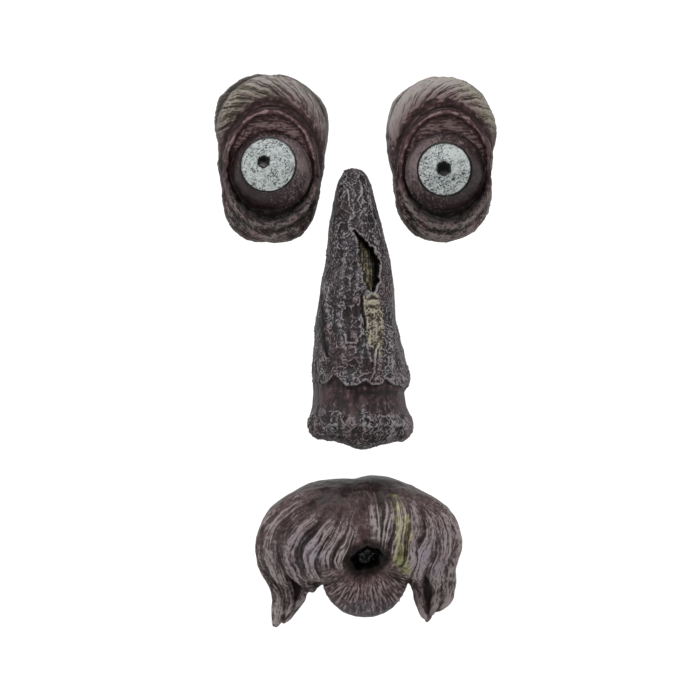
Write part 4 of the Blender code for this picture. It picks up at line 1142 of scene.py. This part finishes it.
# Each point's place across the locks, a whole number on a lock's middle, and its share of the way down
def strandPlace(piece, x, z):
    ways = []
    for lock in mouth["locks"]:
        steps = [(across, up, k / (len(lock) - 1)) for k, (across, up, _) in enumerate(lock)]
        parting = (min(max(lock[0][0], -5), 6), 49, 0)
        route = rounded([parting] + steps)
        route = [(across, up, 1000 * down) for across, up, down in route]
        ways.append(pathDistance(x, z, metres(piece, route)))
    distances, downs, sides = (np.array([way[k] for way in ways]) for k in range(3))
    nearest = distances.argmin(0)
    column = np.arange(len(x))
    side = sides[nearest, column]
    neighbour = np.clip(nearest + side.astype(int), 0, len(ways) - 1)
    here, there = distances[nearest, column], distances[neighbour, column]
    share = np.where(neighbour == nearest, here / 0.012, here / np.maximum(here + there, 1e-6))
    return nearest + side * share, downs[nearest, column]


def makeMouth():
    piece = pieceFrom("mouth")
    width, height, high = piece["width"], piece["height"], mouth["relief"]
    clay = bmesh.new()
    massDepth = mouth["massDepth"] * 100 / mouth["lockFront"]
    base = domeForm(piece, mouth["outline"], massDepth, mouth["sharpness"], casting["behindBack"])
    addShaped(clay, base, 160, 100)
    addPads(clay, piece, mouth["lipPads"])
    addRolls(clay, piece, lockPaths(piece))
    mesh = fuse("fine_mouth", clay, mouth["cell"])
    rough = pointsOf(mesh)
    flowing = smoothStep(-0.036, -0.024, rough[:, 2] - piece["middle"].z) * (rough[:, 1] < -0.003)
    moveTo(mesh, evened(mesh, rough, 30, 0.7 * flowing))  # the locks run together above the tips
    points, normals = pointsOf(mesh), normalsOf(mesh)
    px, pz = points[:, 0] - piece["middle"].x, points[:, 2] - piece["middle"].z
    front = np.clip(-normals[:, 1], 0, 1)
    notBack = smoothStep(0.0, 0.003, -points[:, 1])

    # where the hole, the groove under the nose, the lip and the hollow tips are
    hole = placeAt(piece, mouth["hole"][0], 0, mouth["hole"][1])
    lipTop = placeAt(piece, mouth["lip"][0], 0, mouth["lip"][1])
    x, z = points[:, 0] - hole.x, points[:, 2] - hole.z
    longWay, shortWay = 0.94 * x + 0.34 * z, 0.94 * z - 0.34 * x  # the hole leans up to the right
    fromHole = np.hypot(longWay / (mouth["holeSize"][0] / 2), shortWay / (mouth["holeSize"][1] / 2))
    fromHole = fromHole + 0.22 * lumps(points, 0.0045, 2, 71.0)
    winding = px + 0.002 * lumps(points, 0.012, 1, 5.0)
    distance, half, _ = pathDistance(winding, pz, metres(piece, mouth["philtrum"]))
    philtrum = bump(distance, 1.9 * half)
    inLip = np.hypot(px / width * 100 - 3.1, (pz / height * 100 + 18.5) * 0.85)
    lip = (1 - smoothStep(19.5, 21.5, inLip)) * smoothStep(0.0, 0.003, lipTop.z + 0.0035 - points[:, 2])
    below = bump(np.hypot((x + 0.003) / 0.017, (z + 0.008) / 0.013), 1)  # where the lip sinks to the hole
    web = np.zeros(len(px))
    for path in (mouth["webs"][0], mouth["webs"][2]):
        distance, half, _ = pathDistance(px, pz, metres(piece, rounded(path)))
        web = np.maximum(web, smoothStep(-0.0006, 0.0012, 0.7 * half - distance))
    web *= smoothStep(-0.012, -0.020, pz) * smoothStep(-0.0088, -0.0072, points[:, 1])

    # hair combed along the locks
    place, down = strandPlace(piece, px, pz)
    hair = (1 - lip) * (1 - philtrum) * (1 - web) * notBack
    grown = smoothStep(0.0, 0.35, down) * (1 - 0.6 * smoothStep(0.85, 1.0, down))
    grown *= 1 - 0.5 * smoothStep(-0.028, -0.036, pz)
    wave = lumps(points, (0.010, 0.010, 0.022), 2, 3.0)
    place = place + 0.22 * wave
    combed = np.stack([place, px / 0.05, pz / 0.05], axis=1)
    worn = bump(np.hypot((px + 0.016) / 0.026, (pz - 0.031) / 0.020), 1)  # the hair is rubbed smooth here
    outer = smoothStep(-0.038, -0.056, px) * smoothStep(-0.025, -0.005, pz)
    calm = 1 - np.maximum(0.75 * worn, 0.6 * outer)
    uneven = np.clip(0.5 + 1.1 * lumps(points, (0.012, 0.012, 0.03), 1, 61.0), 0.1, 1)
    crease = smoothStep(0.72, 1.0, np.abs(np.sin(np.pi * place))) * uneven
    strands, hairs = lumps(combed, (0.22, 1, 1), 2, 5.0), lumps(combed, (0.10, 0.5, 0.5), 1, 9.0)
    relief = (high["strand"] * (strands + 0.4 * hairs) - high["crease"] * crease) * hair * grown * calm
    matted = threads(points, (0.0035, 0.0035, 0.0060), 0.12, 2, 44.0) * hair * (1 - 0.8 * grown)
    relief += high["thread"] * matted + high["lump"] * lumps(points, 0.007, 3, 1.0) * notBack

    # fine wrinkles round the lower lip
    around = np.stack([np.arctan2(x, -z), 30 * np.hypot(x, z), 0 * x], axis=1)
    pursed = lip * smoothStep(2.0, 3.2, fromHole) * np.clip(0.7 + lumps(points, 0.008, 1, 6.0), 0, 1)
    wrinkles = lumps(around, (0.055, 0.22, 1), 2, 5.0)
    relief += high["wrinkle"] * wrinkles * pursed
    moved = points + normals * relief[:, None]
    sunk = 1 - smoothStep(0.55, 1.15, fromHole)
    inked = 1 - smoothStep(0.95, 1.30, fromHole)
    sink = mouth["philtrumDepth"] * philtrum + mouth["holeSize"][2] * sunk + high["belowHole"] * below
    moved[:, 1] += sink * front + high["holeGrit"] * lumps(points, 0.0022, 2, 33.0) * sunk
    moved[:, 1] = np.minimum(moved[:, 1], np.maximum(points[:, 1], -mouth["holeFloor"]))
    pressBack(mesh, moved, placeAt(piece, 0, 0, mouth["nailHeight"]))

    # paint: how pale each point is painted, by dry brush, painted shade and light, and which tint lies where
    fine = reliefOf(mesh, 5)
    deep, wide = sunkenness(moved, 0.0025), sunkenness(moved, 0.006)
    facing = smoothStep(0.25, 0.7, front)
    patchy = lumps(points, (0.016, 0.016, 0.026), 2, 31.0)
    # painted shade in the forward-facing recesses
    brushAndLight = 0.57 + np.clip(fine / 0.00046, -0.48, 0.38) - facing * np.clip(deep, -0.0006, 0.0012) / 0.0065
    roots = hair * (1 - smoothStep(0.05, 0.5, down - 0.15 * patchy))
    # painted shade round the hole's edge, in the tips' hollow undersides and where the lip sinks to the hole
    brushAndLight += 0.16 * patchy - 0.12 * roots - 0.6 * bump(fromHole - 1.2, 0.6) - 0.25 * web - 0.12 * below
    brushAndLight += (0.35 * wrinkles - 0.08) * pursed + 0.20 * philtrum * smoothStep(1.8, 2.8, fromHole)
    # painted light and shade: the hair is painted paler on its right side and darker at its top
    brushAndLight += 0.12 * hair * smoothStep(0.015, 0.035, px) - 0.36 * hair * smoothStep(0.026, 0.044, pz)
    brushAndLight -= 0.22 * lip * smoothStep(-0.026, -0.038, pz)
    brushAndLight += 0.22 * threads(combed, (0.40, 0.8, 0.8), 0.06, 2, 15.0) * hair * grown * (1 - 0.6 * worn)
    storeMask(mesh, "brushAndLight", brushAndLight)
    aim, along = 0.008 * place, 0.2 * (pz - 0.5 * px)
    spoke = 0.017 * around[:, 0]
    aim = aim + lip * (spoke - aim)
    along = along + lip * (0.2 * np.hypot(x, z) - along)
    storeStrokes(mesh, aim, along, 0.2 * points[:, 1])
    skin = np.maximum(np.maximum(lip, philtrum), np.maximum(web, 0.75 * roots))
    skin = np.maximum(skin, np.maximum(worn, 0.7 * hair * smoothStep(0.0, 0.4, -patchy)))
    storeMask(mesh, "skin", skin)
    leftZone = bump(np.hypot((px + 0.036) / 0.026, pz / 0.017), 1)
    rightZone = bump(np.hypot((px - 0.046) / 0.016, (pz + 0.002) / 0.022), 1)
    lowLip = lip * smoothStep(-0.026, -0.036, pz)
    clouded = np.clip(0.7 + lumps(points, 0.008, 2, 12.0), 0, 1)
    storeMask(mesh, "lilac", np.maximum(0.7 * np.maximum(leftZone, rightZone) * hair, 0.8 * lowLip) * clouded)
    distance, half, _ = pathDistance(px, pz, metres(piece, rounded(mouth["yellow"])))
    brushed = smoothStep(-0.0015, 0.0015, half - distance + 0.0025 * lumps(points, 0.005, 2, 13.0))
    storeMask(mesh, "yellow", 0.9 * brushed * clouded)
    storeMask(mesh, "green", 0.9 * brushed * smoothStep(0.010, -0.002, pz))
    storeMask(mesh, "ink", inked)
    # painted shade in the wide recesses, the tips' hollow undersides and where the lip sinks to the hole
    shade = 0.28 * facing * smoothStep(0.0010, 0.0040, wide) * (1 - 0.9 * philtrum) * (1 - 0.5 * lip)
    shade = np.maximum(shade, np.maximum(0.36 * web, 0.45 * below))
    # painted shade round the hole, lighter on its upper side
    holeShade = 0.85 * (1 - smoothStep(1.05, 1.80, fromHole)) * (1 - 0.6 * smoothStep(-0.003, 0.005, z))
    storeMask(mesh, "shade", np.maximum(shade, holeShade * (1 - sunk)))
    rubbed = np.maximum(0.7 * worn, 0.8 * philtrum)
    storeMask(mesh, "calm", np.maximum(rubbed, np.maximum(0.7 * web, 0.4 * outer)))
    storeMask(mesh, "gloss", sunk)
    finishPiece(mesh, piece, castResin("hair_cast_resin", mouth["paint"]))


makeMouth()
